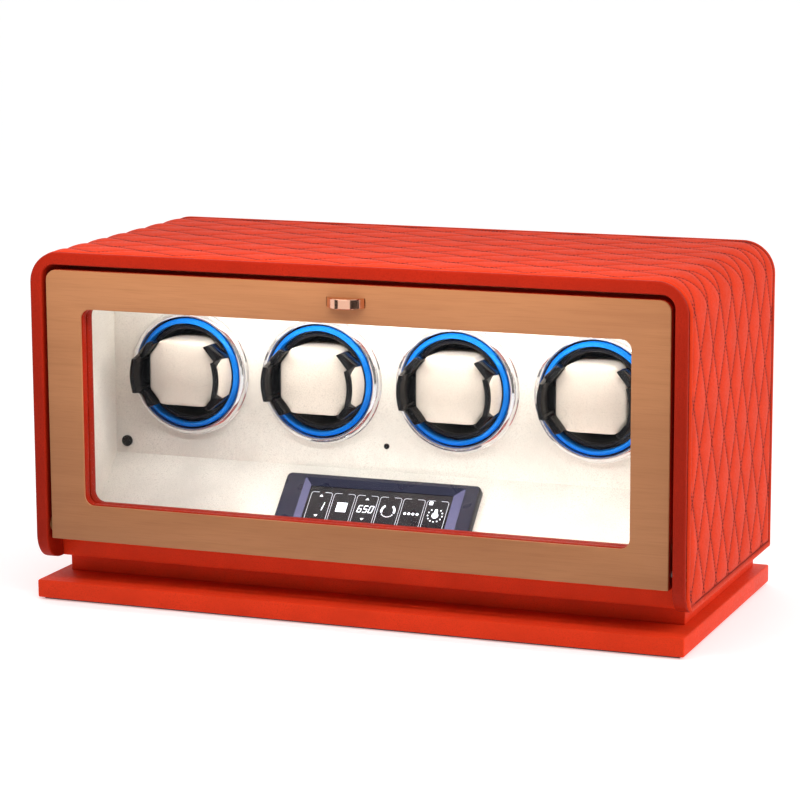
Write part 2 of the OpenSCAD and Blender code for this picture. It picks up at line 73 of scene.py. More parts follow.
def linked(name, data):
    """A new object in the scene, for this mesh, curve, lamp or camera."""
    made = bpy.data.objects.new(name, data)
    bpy.context.scene.collection.objects.link(made)
    return made


# ------------------------------------------------------------------ camera and studio

CAMERA_TURNS = (21.24, 10.30, -0.25)  # degrees round from the front, above the floor, and of roll
CAMERA_PLACE = (0.7856, -2.0326, 0.5426)
LENS, SENSOR = 133.66, 36


def add_camera():
    """A long lens that stands to the object's right and a little above it."""
    azimuth, elevation, roll = (math.radians(turn) for turn in CAMERA_TURNS)
    back = Vector((
        math.sin(azimuth) * math.cos(elevation),
        -math.cos(azimuth) * math.cos(elevation),
        math.sin(elevation),
    ))
    level = Vector((math.cos(azimuth), math.sin(azimuth), 0))
    up = back.cross(level)
    right = level * math.cos(roll) + up * math.sin(roll)
    up = up * math.cos(roll) - level * math.sin(roll)
    data = bpy.data.cameras.new("camera")
    data.lens, data.sensor_width = LENS, SENSOR
    data.clip_start, data.clip_end = 0.05, 100
    camera = linked("camera", data)
    camera.matrix_world = Matrix((right, up, back)).transposed().to_4x4()
    camera.location = CAMERA_PLACE
    bpy.context.scene.camera = camera


def add_world():
    """White above and behind, and dimmer towards the front."""
    world = bpy.data.worlds.new("studio")
    bpy.context.scene.world = world
    world.use_nodes = True
    tree = world.node_tree
    background = tree.nodes["Background"]
    background.inputs["Color"].default_value = (1, 1, 1, 1)
    place = tree.nodes.new("ShaderNodeTexCoord")
    axes = tree.nodes.new("ShaderNodeSeparateXYZ")
    tree.links.new(place.outputs["Generated"], axes.inputs[0])
    front = tree.nodes.new("ShaderNodeMapRange")
    front.interpolation_type = "SMOOTHSTEP"
    tree.links.new(axes.outputs["Y"], front.inputs["Value"])
    for name, value in (("From Min", -0.9), ("From Max", 0.1), ("To Min", 0.18), ("To Max", 1.0)):
        front.inputs[name].default_value = value
    tree.links.new(front.outputs[0], background.inputs["Strength"])


def add_area(name, location, target, size, power, colour=(1, 1, 1)):
    """A soft rectangular lamp that faces its target."""
    data = bpy.data.lights.new(name, "AREA")
    data.shape = "RECTANGLE"
    data.size, data.size_y = size
    data.energy = power
    data.color = colour
    lamp = linked(name, data)
    lamp.visible_camera = False
    lamp.location = location
    lamp.rotation_mode = "QUATERNION"
    lamp.rotation_quaternion = (Vector(target) - Vector(location)).to_track_quat("-Z", "Y")
    return lamp


def add_lights():
    """Two soft studio lamps, one close over the door's top rail, and two inside the cabinet."""
    middle = (cad_box[LOW] + cad_box[HIGH]) / 2
    add_area("key", (1.5, -0.1, 0.9), middle, (0.9, 0.9), 10)
    add_area("top", (-0.3, 0.1, 1.6), middle, (1.2, 0.9), 4)
    rail = Vector((0, cad_box[LOW].y, cad_box[HIGH].z))
    front = add_area("front", rail + Vector((0, -0.11, 0.09)), rail, (0.6, 0.02), 0.8)
    front.visible_glossy = False
    strip_low, strip_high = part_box("led_strip")
    fascia_low, fascia_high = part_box("fascia_panel")
    start = Vector((15 * MM, strip_low.y, strip_low.z - 2 * MM))
    aim = Vector((start.x, fascia_low.y, (fascia_low.z + fascia_high.z) / 2))
    length = strip_high.x - strip_low.x - 30 * MM
    strip = add_area("cabinet", start, aim, (length, 12 * MM), 0.36, (1, 0.98, 0.94))
    strip.visible_glossy = False
    sill = Vector((65 * MM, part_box("door_core")[HIGH].y + 4 * MM, WINDOW_LOW[1] - 6 * MM))
    aside = aim + Vector((0.05, 0, 0.02))
    fill = add_area("fill", sill, aside, (0.34, 10 * MM), 0.16, (1, 0.97, 0.91))
    fill.visible_glossy = False
    fill.data.use_shadow = False


def add_cards():
    """Black cards beside the camera, which only mirror-like surfaces see."""
    paint = Paint("card_black", (0.004, 0.004, 0.004), 0.9)
    places = (
        ("card_right", (0.55, -0.95), (1.25, -0.15), 0.75),
        ("card_left", (-0.95, -0.75), (-0.6, -1.0), 0.6),
    )
    for name, start, end, height in places:
        points = [(*start, 0), (*end, 0), (*end, height), (*start, height)]
        card = mesh_piece(name, points, [(0, 1, 2, 3)])
        card.data.materials.append(paint.material)
        card.visible_camera = card.visible_diffuse = False
        card.visible_shadow = card.visible_transmission = False


def add_floor():
    """A pale floor that runs past the horizon."""
    half = 20
    corners = [(-half, -half, 0), (half, -half, 0), (half, half, 0), (-half, half, 0)]
    floor = mesh_piece("floor", corners, [(0, 1, 2, 3)])
    glow = {"Emission_Color": (1, 1, 1, 1), "Emission_Strength": 0.34}
    paint = Paint("floor_paint", (0.80, 0.80, 0.80), 0.7, **glow)
    floor.data.materials.append(paint.material)


# ------------------------------------------------------------------ materials


class Paint:
    """One Principled material, and short calls that add procedural detail to it."""

    def __init__(self, name, colour, roughness, metallic=0.0, **sockets):
        self.material = bpy.data.materials.new(name)
        self.material.use_nodes = True
        self.tree = self.material.node_tree
        self.shader = self.tree.nodes["Principled BSDF"]
        self.set("Base Color", (*colour, 1))
        self.set("Roughness", roughness)
        self.set("Metallic", metallic)
        for key, value in sockets.items():
            self.set(key.replace("_", " "), value)

    def set(self, socket, value):
        """Sets the shader's own socket."""
        self.shader.inputs[socket].default_value = value

    def node(self, kind, links=(), **values):
        """A node with some inputs linked and others set; keys name its sockets."""
        made = self.tree.nodes.new(kind)
        for key, value in values.items():
            made.inputs[key.replace("_", " ")].default_value = value
        for socket, source in links:
            self.tree.links.new(source, made.inputs[socket])
        return made

    def place(self, scale=(1, 1, 1)):
        """Object coordinates in millimetres, times scale."""
        coords = self.node("ShaderNodeTexCoord")
        source = [("Vector", coords.outputs["Object"])]
        return self.node("ShaderNodeMapping", source, Scale=[s / MM for s in scale]).outputs[0]

    def noise(self, size, scale=(1, 1, 1), detail=3.0, rough=0.55):
        """Noise from 0 to 1 whose features are about size millimetres across."""
        source = [("Vector", self.place(scale))]
        values = {"Scale": 1 / size, "Detail": detail, "Roughness": rough}
        return self.node("ShaderNodeTexNoise", source, **values).outputs["Fac"]

    def cells(self, size, scale=(1, 1, 1)):
        """Distance to the nearest cell's middle, for cells about size millimetres across."""
        made = self.node("ShaderNodeTexVoronoi", [("Vector", self.place(scale))], Scale=1 / size)
        return made.outputs["Distance"]

    def span(self, source, low, high, start=0.0, end=1.0):
        """Source mapped from low-high to start-end, and held there."""
        values = {"From_Min": low, "From_Max": high, "To_Min": start, "To_Max": end}
        return self.node("ShaderNodeMapRange", [("Value", source)], **values).outputs[0]

    def tint(self, factor, colour, strength=1.0):
        """Mixes the base colour towards another where factor is 1."""
        mix = self.tree.nodes.new("ShaderNodeMix")
        mix.data_type = "RGBA"
        base = self.shader.inputs["Base Color"]
        if base.is_linked:
            self.tree.links.new(base.links[0].from_socket, mix.inputs[6])
        else:
            mix.inputs[6].default_value = base.default_value
        mix.inputs[7].default_value = (*colour, 1)
        self.tree.links.new(self.span(factor, 0, 1, 0, strength), mix.inputs[0])
        self.tree.links.new(mix.outputs[2], base)

    def vary_gloss(self, factor, low, high):
        """Roughness that rises from low to high with factor."""
        self.tree.links.new(self.span(factor, 0.3, 0.7, low, high), self.shader.inputs["Roughness"])

    def bump(self, height, depth):
        """A relief of depth millimetres where height goes from 0 to 1, over earlier ones."""
        made = self.node("ShaderNodeBump", [("Height", height)], Distance=depth * MM, Strength=1.0)
        normal = self.shader.inputs["Normal"]
        if normal.is_linked:
            self.tree.links.new(normal.links[0].from_socket, made.inputs["Normal"])
        self.tree.links.new(made.outputs[0], normal)


def darker(colour, share):
    """A share of a colour's brightness."""
    return tuple(c * share for c in colour)


def leather(name, colour, roughness, grain=0.9, depth=0.10, gloss=0.12, painted_seam_shade=None):
    """Dyed leather: pebbled grain, slow changes of tone, and, where a seam colour is given, painted
    shade that darkens the sewn seams.
    """
    paint = Paint(name, colour, roughness, Specular_IOR_Level=gloss)
    pebbles = paint.cells(grain)
    paint.tint(paint.span(pebbles, 0.45, 0.95), darker(colour, 0.55), 0.5)
    paint.tint(paint.span(paint.noise(35), 0.35, 0.7), darker(colour, 0.82), 0.8)
    paint.vary_gloss(paint.noise(2.5), roughness - 0.08, roughness + 0.1)
    paint.bump(paint.span(pebbles, 0.0, 0.9, 1, 0), depth)
    paint.bump(paint.noise(3.5, detail=5), depth * 1.5)
    # Painted shade: a mask on the mesh darkens the colour along the sewn seams.
    if painted_seam_shade:
        seam_shade_mask = paint.node("ShaderNodeAttribute")
        seam_shade_mask.attribute_name = "painted_seam_shade"
        paint.tint(seam_shade_mask.outputs["Fac"], painted_seam_shade, 0.5)
    return paint.material


def veneer_material():
    """Fine straight grain along the door, with darker streaks and open pores."""
    light, mid, dark = (0.43, 0.180, 0.074), (0.34, 0.134, 0.053), (0.20, 0.066, 0.024)
    gloss = {"Specular_IOR_Level": 0.25, "Coat_Weight": 0.08, "Coat_Roughness": 0.35}
    paint = Paint("veneer", light, 0.45, **gloss)
    broad = paint.noise(70, (0.3, 1, 1.4), 3)
    streak = paint.noise(5, (0.05, 1, 1), 4)
    line = paint.noise(0.9, (0.03, 1, 1), 3)
    paint.tint(paint.span(broad, 0.38, 0.66), mid, 0.7)
    paint.tint(paint.span(streak, 0.50, 0.78), dark, 0.18)
    paint.tint(paint.span(line, 0.48, 0.74), dark, 0.20)
    paint.vary_gloss(streak, 0.40, 0.52)
    paint.bump(line, 0.03)
    return paint.material


def plain(name, colour, roughness, metallic=0.0, speck=0.6, depth=0.03, **sockets):
    """Moulded, cast or coated surfaces: a fine texture and a little wear in the gloss."""
    paint = Paint(name, colour, roughness, metallic, **sockets)
    texture = paint.noise(speck, detail=2)
    paint.tint(paint.span(paint.noise(45, detail=1), 0.35, 0.75), darker(colour, 0.86), 0.5)
    paint.vary_gloss(paint.noise(20, detail=1), max(roughness - 0.05, 0.02), roughness + 0.06)
    paint.bump(texture, depth)
    return paint.material


def brushed(name, colour, roughness, along=(0.04, 1, 1)):
    """Metal with fine lines drawn one way."""
    paint = Paint(name, colour, roughness, 1.0)
    lines = paint.noise(0.35, along, 3)
    paint.tint(paint.span(lines, 0.35, 0.7), darker(colour, 0.75), 0.6)
    paint.vary_gloss(lines, roughness - 0.06, roughness + 0.12)
    paint.bump(lines, 0.012)
    return paint.material


def polished(name, colour, roughness, metallic=1.0, **sockets):
    """Plated metal: nearly a mirror, with faint smears."""
    paint = Paint(name, colour, roughness, metallic, **sockets)
    paint.tint(paint.span(paint.noise(30, detail=1), 0.35, 0.7), darker(colour, 0.85), 0.5)
    paint.vary_gloss(paint.noise(15, detail=1), roughness, roughness + 0.03)
    return paint.material


def felt_material():
    """Dark felt: a matted, uneven pile."""
    paint = Paint("felt", (0.035, 0.035, 0.038), 0.95, Sheen_Weight=0.4, Sheen_Roughness=0.5)
    fibres = paint.noise(0.5, detail=6, rough=0.8)
    paint.tint(paint.span(fibres, 0.4, 0.7), (0.09, 0.09, 0.095), 0.6)
    paint.bump(fibres, 0.25)
    return paint.material


def board_material():
    """Pressed board: chips of several tones."""
    paint = Paint("board", (0.50, 0.37, 0.23), 0.8)
    chips = paint.cells(2.2, (0.5, 1, 1))
    paint.tint(paint.span(chips, 0.1, 0.8), (0.30, 0.20, 0.11), 0.7)
    paint.bump(chips, 0.12)
    return paint.material


def circuit_material():
    """Green lacquer over a fine copper pattern."""
    paint = Paint("circuit_board", (0.012, 0.12, 0.05), 0.35)
    tracks = paint.cells(1.8, (1, 0.4, 1))
    paint.tint(paint.span(tracks, 0.35, 0.42), (0.02, 0.20, 0.08), 0.8)
    paint.bump(tracks, 0.03)
    return paint.material


def glass_material():
    """Clear plate: a plain low alpha, so that lamps and eyes pass it unbent."""
    paint = Paint("clear_glass", (0.015, 0.017, 0.018), 0.03, IOR=1.5, Alpha=0.05)
    paint.vary_gloss(paint.noise(40), 0.02, 0.06)
    return paint.material


def lit(name, colour, strength):
    """A surface that glows, a little unevenly."""
    paint = Paint(name, colour, 0.4, Emission_Color=(*colour, 1), Emission_Strength=strength)
    paint.tint(paint.noise(5), darker(colour, 0.9), 0.5)
    paint.bump(paint.noise(1.0), 0.01)
    return paint.material


def make_materials():
    """Every finish, by the name of its slot in the record, and a few extra ones."""
    red, bright_red = (0.36, 0.015, 0.004), (0.67, 0.040, 0.009)
    # Thread colour for the stitches; the same colour is painted along the quilt's seams as shade.
    thread_and_seam_shade_red = (0.17, 0.006, 0.003)
    made = {
        "felt": felt_material(),
        "smooth_leather": leather("smooth_leather", red, 0.48, 1.1, 0.07, 0.08),
        "quilted_leather": leather(
            "quilted_leather", bright_red, 0.55, 0.9, 0.08, 0.05, thread_and_seam_shade_red
        ),
        # Painted light: a lighter copy of the smooth leather, for the plinth's shaded front faces.
        "base_leather_lit_copy": leather("base_leather_lit_copy", (0.80, 0.046, 0.012), 0.48, 0.7, 0.05, 0.06),
        "board": board_material(),
        "cream_lining": leather("cream_lining", (0.84, 0.81, 0.74), 0.6, 0.8, 0.05),
        "cushion_leather": leather("cushion_leather", (0.76, 0.69, 0.60), 0.5, 0.7, 0.05),
        "slate_plastic": plain("slate_plastic", (0.019, 0.021, 0.042), 0.3, speck=0.4, depth=0.02),
        "display_glass": plain(
            "display_glass", (0.012, 0.012, 0.016), 0.3, depth=0.0, Specular_IOR_Level=0.5
        ),
        "circuit_board": circuit_material(),
        "black_gloss": plain(
            "black_gloss", (0.005, 0.005, 0.006), 0.16, depth=0.004, Specular_IOR_Level=0.3
        ),
        "black_matte": plain(
            "black_matte", (0.006, 0.006, 0.007), 0.4, depth=0.02, Specular_IOR_Level=0.2
        ),
        "diffuser": lit("diffuser", (1.0, 0.96, 0.90), 2.0),
        "grey_steel": plain("grey_steel", (0.25, 0.26, 0.28), 0.45, speck=0.9, depth=0.05),
        "bronze": plain("bronze", (0.62, 0.42, 0.18), 0.4, 1.0, depth=0.04),
        "motor_steel": brushed("motor_steel", (0.60, 0.61, 0.63), 0.32, (1, 0.04, 1)),
        "bright_steel": brushed("bright_steel", (0.72, 0.73, 0.75), 0.25),
        "belt_rubber": plain("belt_rubber", (0.03, 0.03, 0.03), 0.7, depth=0.06),
        "blue_ring": polished("blue_ring", (0.003, 0.26, 0.98), 0.2, 0.45),
        "chrome_trim": polished("chrome_trim", (0.86, 0.87, 0.89), 0.07, 0.85),
        "back_board": plain("back_board", (0.03, 0.03, 0.032), 0.55, speck=1.2, depth=0.08),
        "veneer": veneer_material(),
        "clear_glass": glass_material(),
        "rose_gold": polished("rose_gold", (0.90, 0.50, 0.35), 0.12),
        "pulley_plastic": plain("pulley_plastic", (0.70, 0.70, 0.66), 0.5),
        "stitch_thread": plain("stitch_thread", thread_and_seam_shade_red, 0.8, speck=0.3, depth=0.05),
        # Painted reflection: the cups' black made a shade lighter and bluer for their lip.
        "drum_lip_painted_sheen": plain(
            "drum_lip_painted_sheen", (0.009, 0.009, 0.013), 0.34, depth=0.01, Specular_IOR_Level=0.25
        ),
        # Painted highlight and painted shade: lighter and darker copies of the console frame's
        # slate.
        "slate_painted_highlight": plain("slate_painted_highlight", (0.11, 0.11, 0.22), 0.35, depth=0.02),
        "slate_painted_shade": plain("slate_painted_shade", (0.010, 0.010, 0.018), 0.3, depth=0.02),
        "key_light": lit("key_light", (0.90, 0.92, 1.0), 1.3),
        "key_line": lit("key_line", (0.62, 0.64, 0.72), 0.5),
    }
    return made


# ------------------------------------------------------------------ mesh helpers


def mesh_piece(name, points, faces, smooth=False):
    """An object from points and faces."""
    data = bpy.data.meshes.new(name)
    data.from_pydata([tuple(p) for p in points], [], [tuple(f) for f in faces])
    data.validate()
    data.update()
    if smooth:
        data.shade_smooth()
    return linked(name, data)


def band_faces(count, rings, closed=False):
    """Quads between rings of count points each; closed joins the last ring to the first."""
    faces = []
    for r in range(rings if closed else rings - 1):
        here, there = r * count, (r + 1) % rings * count
        for k in range(count):
            n = (k + 1) % count
            faces.append((here + k, here + n, there + n, there + k))
    return faces


def end_caps(count, rings):
    """The two faces that close a band's first and last rings."""
    last = (rings - 1) * count
    return [tuple(range(count)), tuple(last + k for k in reversed(range(count)))]


def outward(piece, weld=False):
    """Turns every face of a closed mesh outwards; weld first joins points that coincide."""
    shape = bmesh.new()
    shape.from_mesh(piece.data)
    if weld:
        bmesh.ops.remove_doubles(shape, verts=shape.verts, dist=1e-6)
    bmesh.ops.recalc_face_normals(shape, faces=shape.faces)
    shape.to_mesh(piece.data)
    shape.free()
    return piece


def apply_modifiers(piece):
    """Puts the modifiers' result in the piece's mesh."""
    graph = bpy.context.evaluated_depsgraph_get()
    baked = bpy.data.meshes.new_from_object(piece.evaluated_get(graph))
    piece.modifiers.clear()
    piece.data = baked
    return piece


def crease_smooth(piece, angle=35):
    """Smooth shading that keeps edges sharper than angle degrees."""
    piece.data.shade_smooth()
    piece.data.set_sharp_from_angle(angle=math.radians(angle))
    return piece


def soften(piece, width, segments=3, angle=30):
    """Rounds every edge sharper than angle degrees."""
    bevel = piece.modifiers.new("edges", "BEVEL")
    bevel.width = width
    bevel.segments = segments
    bevel.limit_method = "ANGLE"
    bevel.angle_limit = math.radians(angle)
    apply_modifiers(piece)
    return crease_smooth(piece, 40)


def dress(piece, body, slot, *nodes, material=None):
    """Gives a piece its finish, its body and the CAD nodes that it stands for."""
    piece.data.materials.clear()
    piece.data.materials.append(materials[material or slot])
    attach(piece, body)
    if nodes:
        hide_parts(*nodes)
    return piece


def merge(name, pieces):
    """One object out of several; their materials are not carried over."""
    points, faces, start = [], [], 0
    for piece in pieces:
        points += [piece.matrix_world @ v.co for v in piece.data.vertices]
        faces += [[start + i for i in p.vertices] for p in piece.data.polygons]
        start = len(points)
        bpy.data.objects.remove(piece)
    return mesh_piece(name, points, faces)


def merge_smooth(name, pieces, angle=40):
    """One smooth object out of several."""
    return crease_smooth(merge(name, pieces), angle)


def block_piece(name, low, high, edge):
    """A box with rounded edges."""
    (x0, y0, z0), (x1, y1, z1) = low, high
    corners = [(x, y, z) for z in (z0, z1) for y in (y0, y1) for x in (x0, x1)]
    faces = [(0, 2, 3, 1), (4, 5, 7, 6), (0, 1, 5, 4), (2, 6, 7, 3), (0, 4, 6, 2), (1, 3, 7, 5)]
    return soften(mesh_piece(name, corners, faces), edge)


def arc(centre, radius, start, end, steps):
    """Points on an arc, with both ends; angles in degrees."""
    turns = [math.radians(start + (end - start) * i / steps) for i in range(steps + 1)]
    return [(centre[0] + radius * math.cos(a), centre[1] + radius * math.sin(a)) for a in turns]


def rounded_outline(low, high, radius, steps=8, foot_radius=None):
    """A rectangle's outline with round corners; its two lower ones may differ."""
    foot = radius if foot_radius is None else foot_radius
    corners = (
        (high[0], high[1], radius, -1, -1, 0),
        (low[0], high[1], radius, 1, -1, 90),
        (low[0], low[1], foot, 1, 1, 180),
        (high[0], low[1], foot, -1, 1, 270),
    )
    points = []
    for x, z, r, to_x, to_z, turn in corners:
        points += arc((x + to_x * r, z + to_z * r), r, turn, turn + 90, steps)
    return points


def plate(name, outlines, front, back, edge, steps=2):
    """A plate in the X-Z plane, from front to back along Y, with holes and rounded edges."""
    curve = bpy.data.curves.new(name, "CURVE")
    curve.dimensions = "2D"
    curve.fill_mode = "BOTH"
    curve.extrude = (back - front) / 2 - edge
    curve.bevel_depth = edge
    curve.bevel_resolution = steps
    curve.offset = -edge
    for outline in outlines:
        spline = curve.splines.new("POLY")
        spline.points.add(len(outline) - 1)
        for point, (x, z) in zip(spline.points, outline):
            point.co = (x, z, 0, 1)
        spline.use_cyclic_u = True
    holder = linked(name + "_curve", curve)
    bpy.context.view_layer.update()
    graph = bpy.context.evaluated_depsgraph_get()
    data = bpy.data.meshes.new_from_object(holder.evaluated_get(graph))
    bpy.data.objects.remove(holder)
    upright = Matrix.Rotation(math.pi / 2, 4, "X")
    data.transform(Matrix.Translation((0, (front + back) / 2, 0)) @ upright)
    return crease_smooth(outward(linked(name, data), weld=True), 40)


def lathe(name, profile, x, z, segments=128):
    """A closed profile of (radius, y) turned about the line through x, z along Y."""
    points = []
    for s in range(segments):
        turn = 2 * math.pi * s / segments
        points += [(x + r * math.cos(turn), y, z + r * math.sin(turn)) for r, y in profile]
    faces = band_faces(len(profile), segments, closed=True)
    return crease_smooth(outward(mesh_piece(name, points, faces)), 30)


def round_profile(corners, radius, steps=4):
    """A closed profile whose corners are rounded by an equal radius."""
    points, count = [], len(corners)
    for i in range(count):
        here = Vector(corners[i])
        before = (Vector(corners[i - 1]) - here).normalized()
        after = (Vector(corners[(i + 1) % count]) - here).normalized()
        for s in range(steps + 1):
            t = s / steps
            start, end = here + before * radius, here + after * radius
            points.append(tuple(start * (1 - t) ** 2 + here * 2 * t * (1 - t) + end * t ** 2))
    return points


# ------------------------------------------------------------------ hood and plinth

HOOD_LOW, HOOD_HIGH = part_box("hood_shell")
HOOD_R, HOOD_IN_R, HOOD_WALL, TOE_R = 23 * MM, 10 * MM, 9.3 * MM, 20 * MM
RIM_W, REBATE = 3.2 * MM, 2.4 * MM


def toe_shift(z, low, radius):
    """How far the front edge stands back at height z, round the front bottom corner."""
    rise = radius - (z - low)
    return radius - math.sqrt(max(radius ** 2 - rise ** 2, 0)) if rise > 0 else 0.0


def hood_stations():
    """Pairs of outer and inner points round the hood's front view, from left foot to right foot."""
    half, top, foot = HOOD_HIGH.x, HOOD_HIGH.z, HOOD_LOW.z
    inner_half, inner_top = half - HOOD_WALL, top - HOOD_WALL
    levels = [foot + TOE_R * (1 - math.cos(math.radians(a))) for a in range(0, 91, 9)]
    levels += [foot + TOE_R + (top - HOOD_R - foot - TOE_R) * i / 6 for i in range(1, 6)]
    left = [((-half, z), (-inner_half, z)) for z in levels]
    outer = arc((-half + HOOD_R, top - HOOD_R), HOOD_R, 180, 90, 14)
    inner = arc((-inner_half + HOOD_IN_R, inner_top - HOOD_IN_R), HOOD_IN_R, 180, 90, 14)
    left += list(zip(outer, inner))
    right = [((-o[0], o[1]), (-i[0], i[1])) for o, i in reversed(left)]
    return left + right


def hood_section(outer, inner, roll_out, roll_in):
    """The wall's section at one station, from the outer back edge round the front to the inner."""
    o, i = Vector(outer), Vector(inner)
    across = (i - o).normalized()
    front, back = HOOD_LOW.y, HOOD_HIGH.y
    turns = [math.radians(a) for a in range(0, 91, 15)]
    seat, rim_back = o + across * REBATE, front + RIM_W
    section = [(seat + across * roll_in, back, 0), (seat, back - roll_in, 0)]
    section += [(seat, rim_back + 8 * MM, 1), (seat, rim_back, 1)]
    section += [(o + across * 0.4 * MM, rim_back, 1), (o, rim_back - 0.4 * MM, 1)]
    curve = [(1 - math.cos(a), 1 - math.sin(a)) for a in turns]
    section += [(o + across * roll_out * c, front + roll_out * s, 1) for c, s in curve]
    section += [(i - across * roll_in * s, front + roll_in * c, 1) for c, s in curve]
    section += [(i, back - roll_in, 0), (i - across * roll_in, back, 0)]
    return section


def make_hood():
    """The smooth leather shell: its rounded front rim shows all round the door."""
    points = []
    for outer, inner in hood_stations():
        section = hood_section(outer, inner, 1.5 * MM, 1.2 * MM)
        for flat, y, at_front in section:
            points.append((flat[0], y + at_front * toe_shift(flat[1], HOOD_LOW.z, TOE_R), flat[1]))
    count = len(section)
    stations = len(points) // count
    faces = band_faces(count, stations) + end_caps(count, stations)
    hood = outward(mesh_piece("hood_rim_leather", points, faces))
    dress(crease_smooth(hood, 40), "cabinet", "smooth_leather", "hood_shell")


def make_plinth():
    """The base board, the riser and the sill, each wrapped in leather with rounded edges; their
    leather is painted lighter than the rim's, as light on their low front faces.
    """
    for node, edge in (("base_board", 1.3 * MM), ("riser", 0.8 * MM), ("front_sill", 1.0 * MM)):
        low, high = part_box(node)
        block = block_piece(node + "_leather", low, high, edge)
        dress(block, "cabinet", "smooth_leather", node, material="base_leather_lit_copy")


# ------------------------------------------------------------------ quilted cover

CELL_Y, CELL_U = 32.5 * MM, 66.7 * MM
CROSS_Y, CROSS_U = -87.5 * MM, 178.7 * MM
SEAM_GAP = CELL_Y * CELL_U / math.hypot(CELL_Y, CELL_U)
GROOVE = 0.9 * MM
COVER_LOW, COVER_HIGH = (Vector(corner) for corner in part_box("quilted_cover"))
COVER_LOW.y = HOOD_LOW.y + RIM_W + GROOVE
BINDING, TOP_SUNK = 5.0 * MM, 1.2 * MM
WRAP_R = HOOD_R + 1.2 * MM
SIDE_L = HOOD_HIGH.z - HOOD_R - HOOD_LOW.z
TOP_L = 2 * (HOOD_HIGH.x - HOOD_R)
CORNER_L = WRAP_R * math.pi / 2
WRAP_L = 2 * SIDE_L + TOP_L + 2 * CORNER_L


def wrap_frame(u):
    """The surface point and outward normal, as x and z, at distances u round the hood.

    u starts at the hood's right foot."""
    u = np.asarray(u, float)
    half, foot, top = HOOD_HIGH.x, HOOD_LOW.z, HOOD_HIGH.z
    x, z = np.zeros_like(u), np.zeros_like(u)
    nx, nz = np.zeros_like(u), np.zeros_like(u)
    ends = np.cumsum([SIDE_L, CORNER_L, TOP_L, CORNER_L, SIDE_L])
    leg = np.searchsorted(ends[:-1], u, side="right")
    start = np.concatenate([[0], ends[:-1]])[leg]
    along = u - start
    right, left = leg == 0, leg == 4
    x[right], z[right], nx[right] = half, foot + along[right], 1
    x[left], z[left], nx[left] = -half, foot + SIDE_L - along[left], -1
    flat = leg == 2
    x[flat], z[flat], nz[flat] = half - HOOD_R - along[flat], top, 1
    for k, side, first in ((1, 1, 0.0), (3, -1, math.pi / 2)):
        at = leg == k
        turn = first + along[at] / WRAP_R
        nx[at], nz[at] = np.cos(turn), np.sin(turn)
        x[at] = side * (half - HOOD_R) + HOOD_R * nx[at]
        z[at] = top - HOOD_R + HOOD_R * nz[at]
    return x, z, nx, nz


def cover_front(u):
    """Where the cover's front edge runs, round the front bottom corners of the sides."""
    z = wrap_frame(u)[1]
    radius = TOE_R - (COVER_LOW.y - HOOD_LOW.y)
    rise = np.clip(radius - (z - HOOD_LOW.z), 0, None)
    return COVER_LOW.y + radius - np.sqrt(np.clip(radius ** 2 - rise ** 2, 0, None))


def seam_distance(u, y):
    """Distance to the nearest seam of each diagonal family."""
    across, deep = (u - CROSS_U) / CELL_U, (y - CROSS_Y) / CELL_Y
    one, two = across + deep, across - deep
    return np.abs(one - np.round(one)) * SEAM_GAP, np.abs(two - np.round(two)) * SEAM_GAP


def edge_distance(u, y):
    """Distance in from the cover's nearest bound edge."""
    sides = np.minimum(u, WRAP_L - u)
    return np.minimum(sides, np.minimum(y - cover_front(u), COVER_HIGH.y - y))


def puff(u, y):
    """The padded surface's height over the hood."""
    seat, full, bead = 0.5 * MM, 1.6 * MM, 1.2 * MM
    half = SEAM_GAP / 2
    rise = 1.0
    for distance in seam_distance(u, y):
        rise = rise * (1 - (1 - np.clip(distance / half, 0, 1)) ** 3)
    inset = edge_distance(u, y)
    rise = rise * (1 - (1 - np.clip((inset - BINDING) / (10 * MM), 0, 1)) ** 2.2)
    field = seat + full * rise
    across = np.clip(inset / BINDING, 0, 1)
    bound = seat + bead * np.sin(math.pi * across) ** 0.6
    tuck = np.clip(inset / (1.0 * MM), 0, 1) ** 0.5
    return np.where(inset < BINDING, bound * tuck, field)


def painted_seam_shade(u, y):
    """A painted shade mask: 1 along a seam or the binding's inner edge, where shade falls in the
    groove, falling to 0 beside it.
    """
    width, inset = 1.5 * MM, edge_distance(u, y)
    one, two = seam_distance(u, y)
    nearest = np.minimum(np.minimum(one, two), np.abs(inset - BINDING))
    nearest = np.where(inset < BINDING, np.abs(inset - BINDING), nearest)
    return np.exp(-(nearest / width) ** 2)


def cover_point(u, y, height):
    """The point at this height over the hood's surface."""
    x, z, nx, nz = wrap_frame(u)
    height = height - TOP_SUNK * np.clip(nz, 0, 1)
    return np.stack([x + nx * height, y, z + nz * height], -1)


def lattice(start, end, origin, step):
    """Multiples of step from origin that lie between start and end."""
    first = math.ceil((start - origin) / step + 1e-6)
    last = math.floor((end - origin) / step - 1e-6)
    return [origin + i * step for i in range(first, last + 1)]


def edge_rows(start, end):
    """Extra rows near both bound edges."""
    insets = [0, 0.25, 0.7, 1.4, 2.5, 3.6, 4.4, 4.8, 5.0, 5.3, 6.0, 7.2]
    return [start + i * MM for i in insets] + [end - i * MM for i in insets]


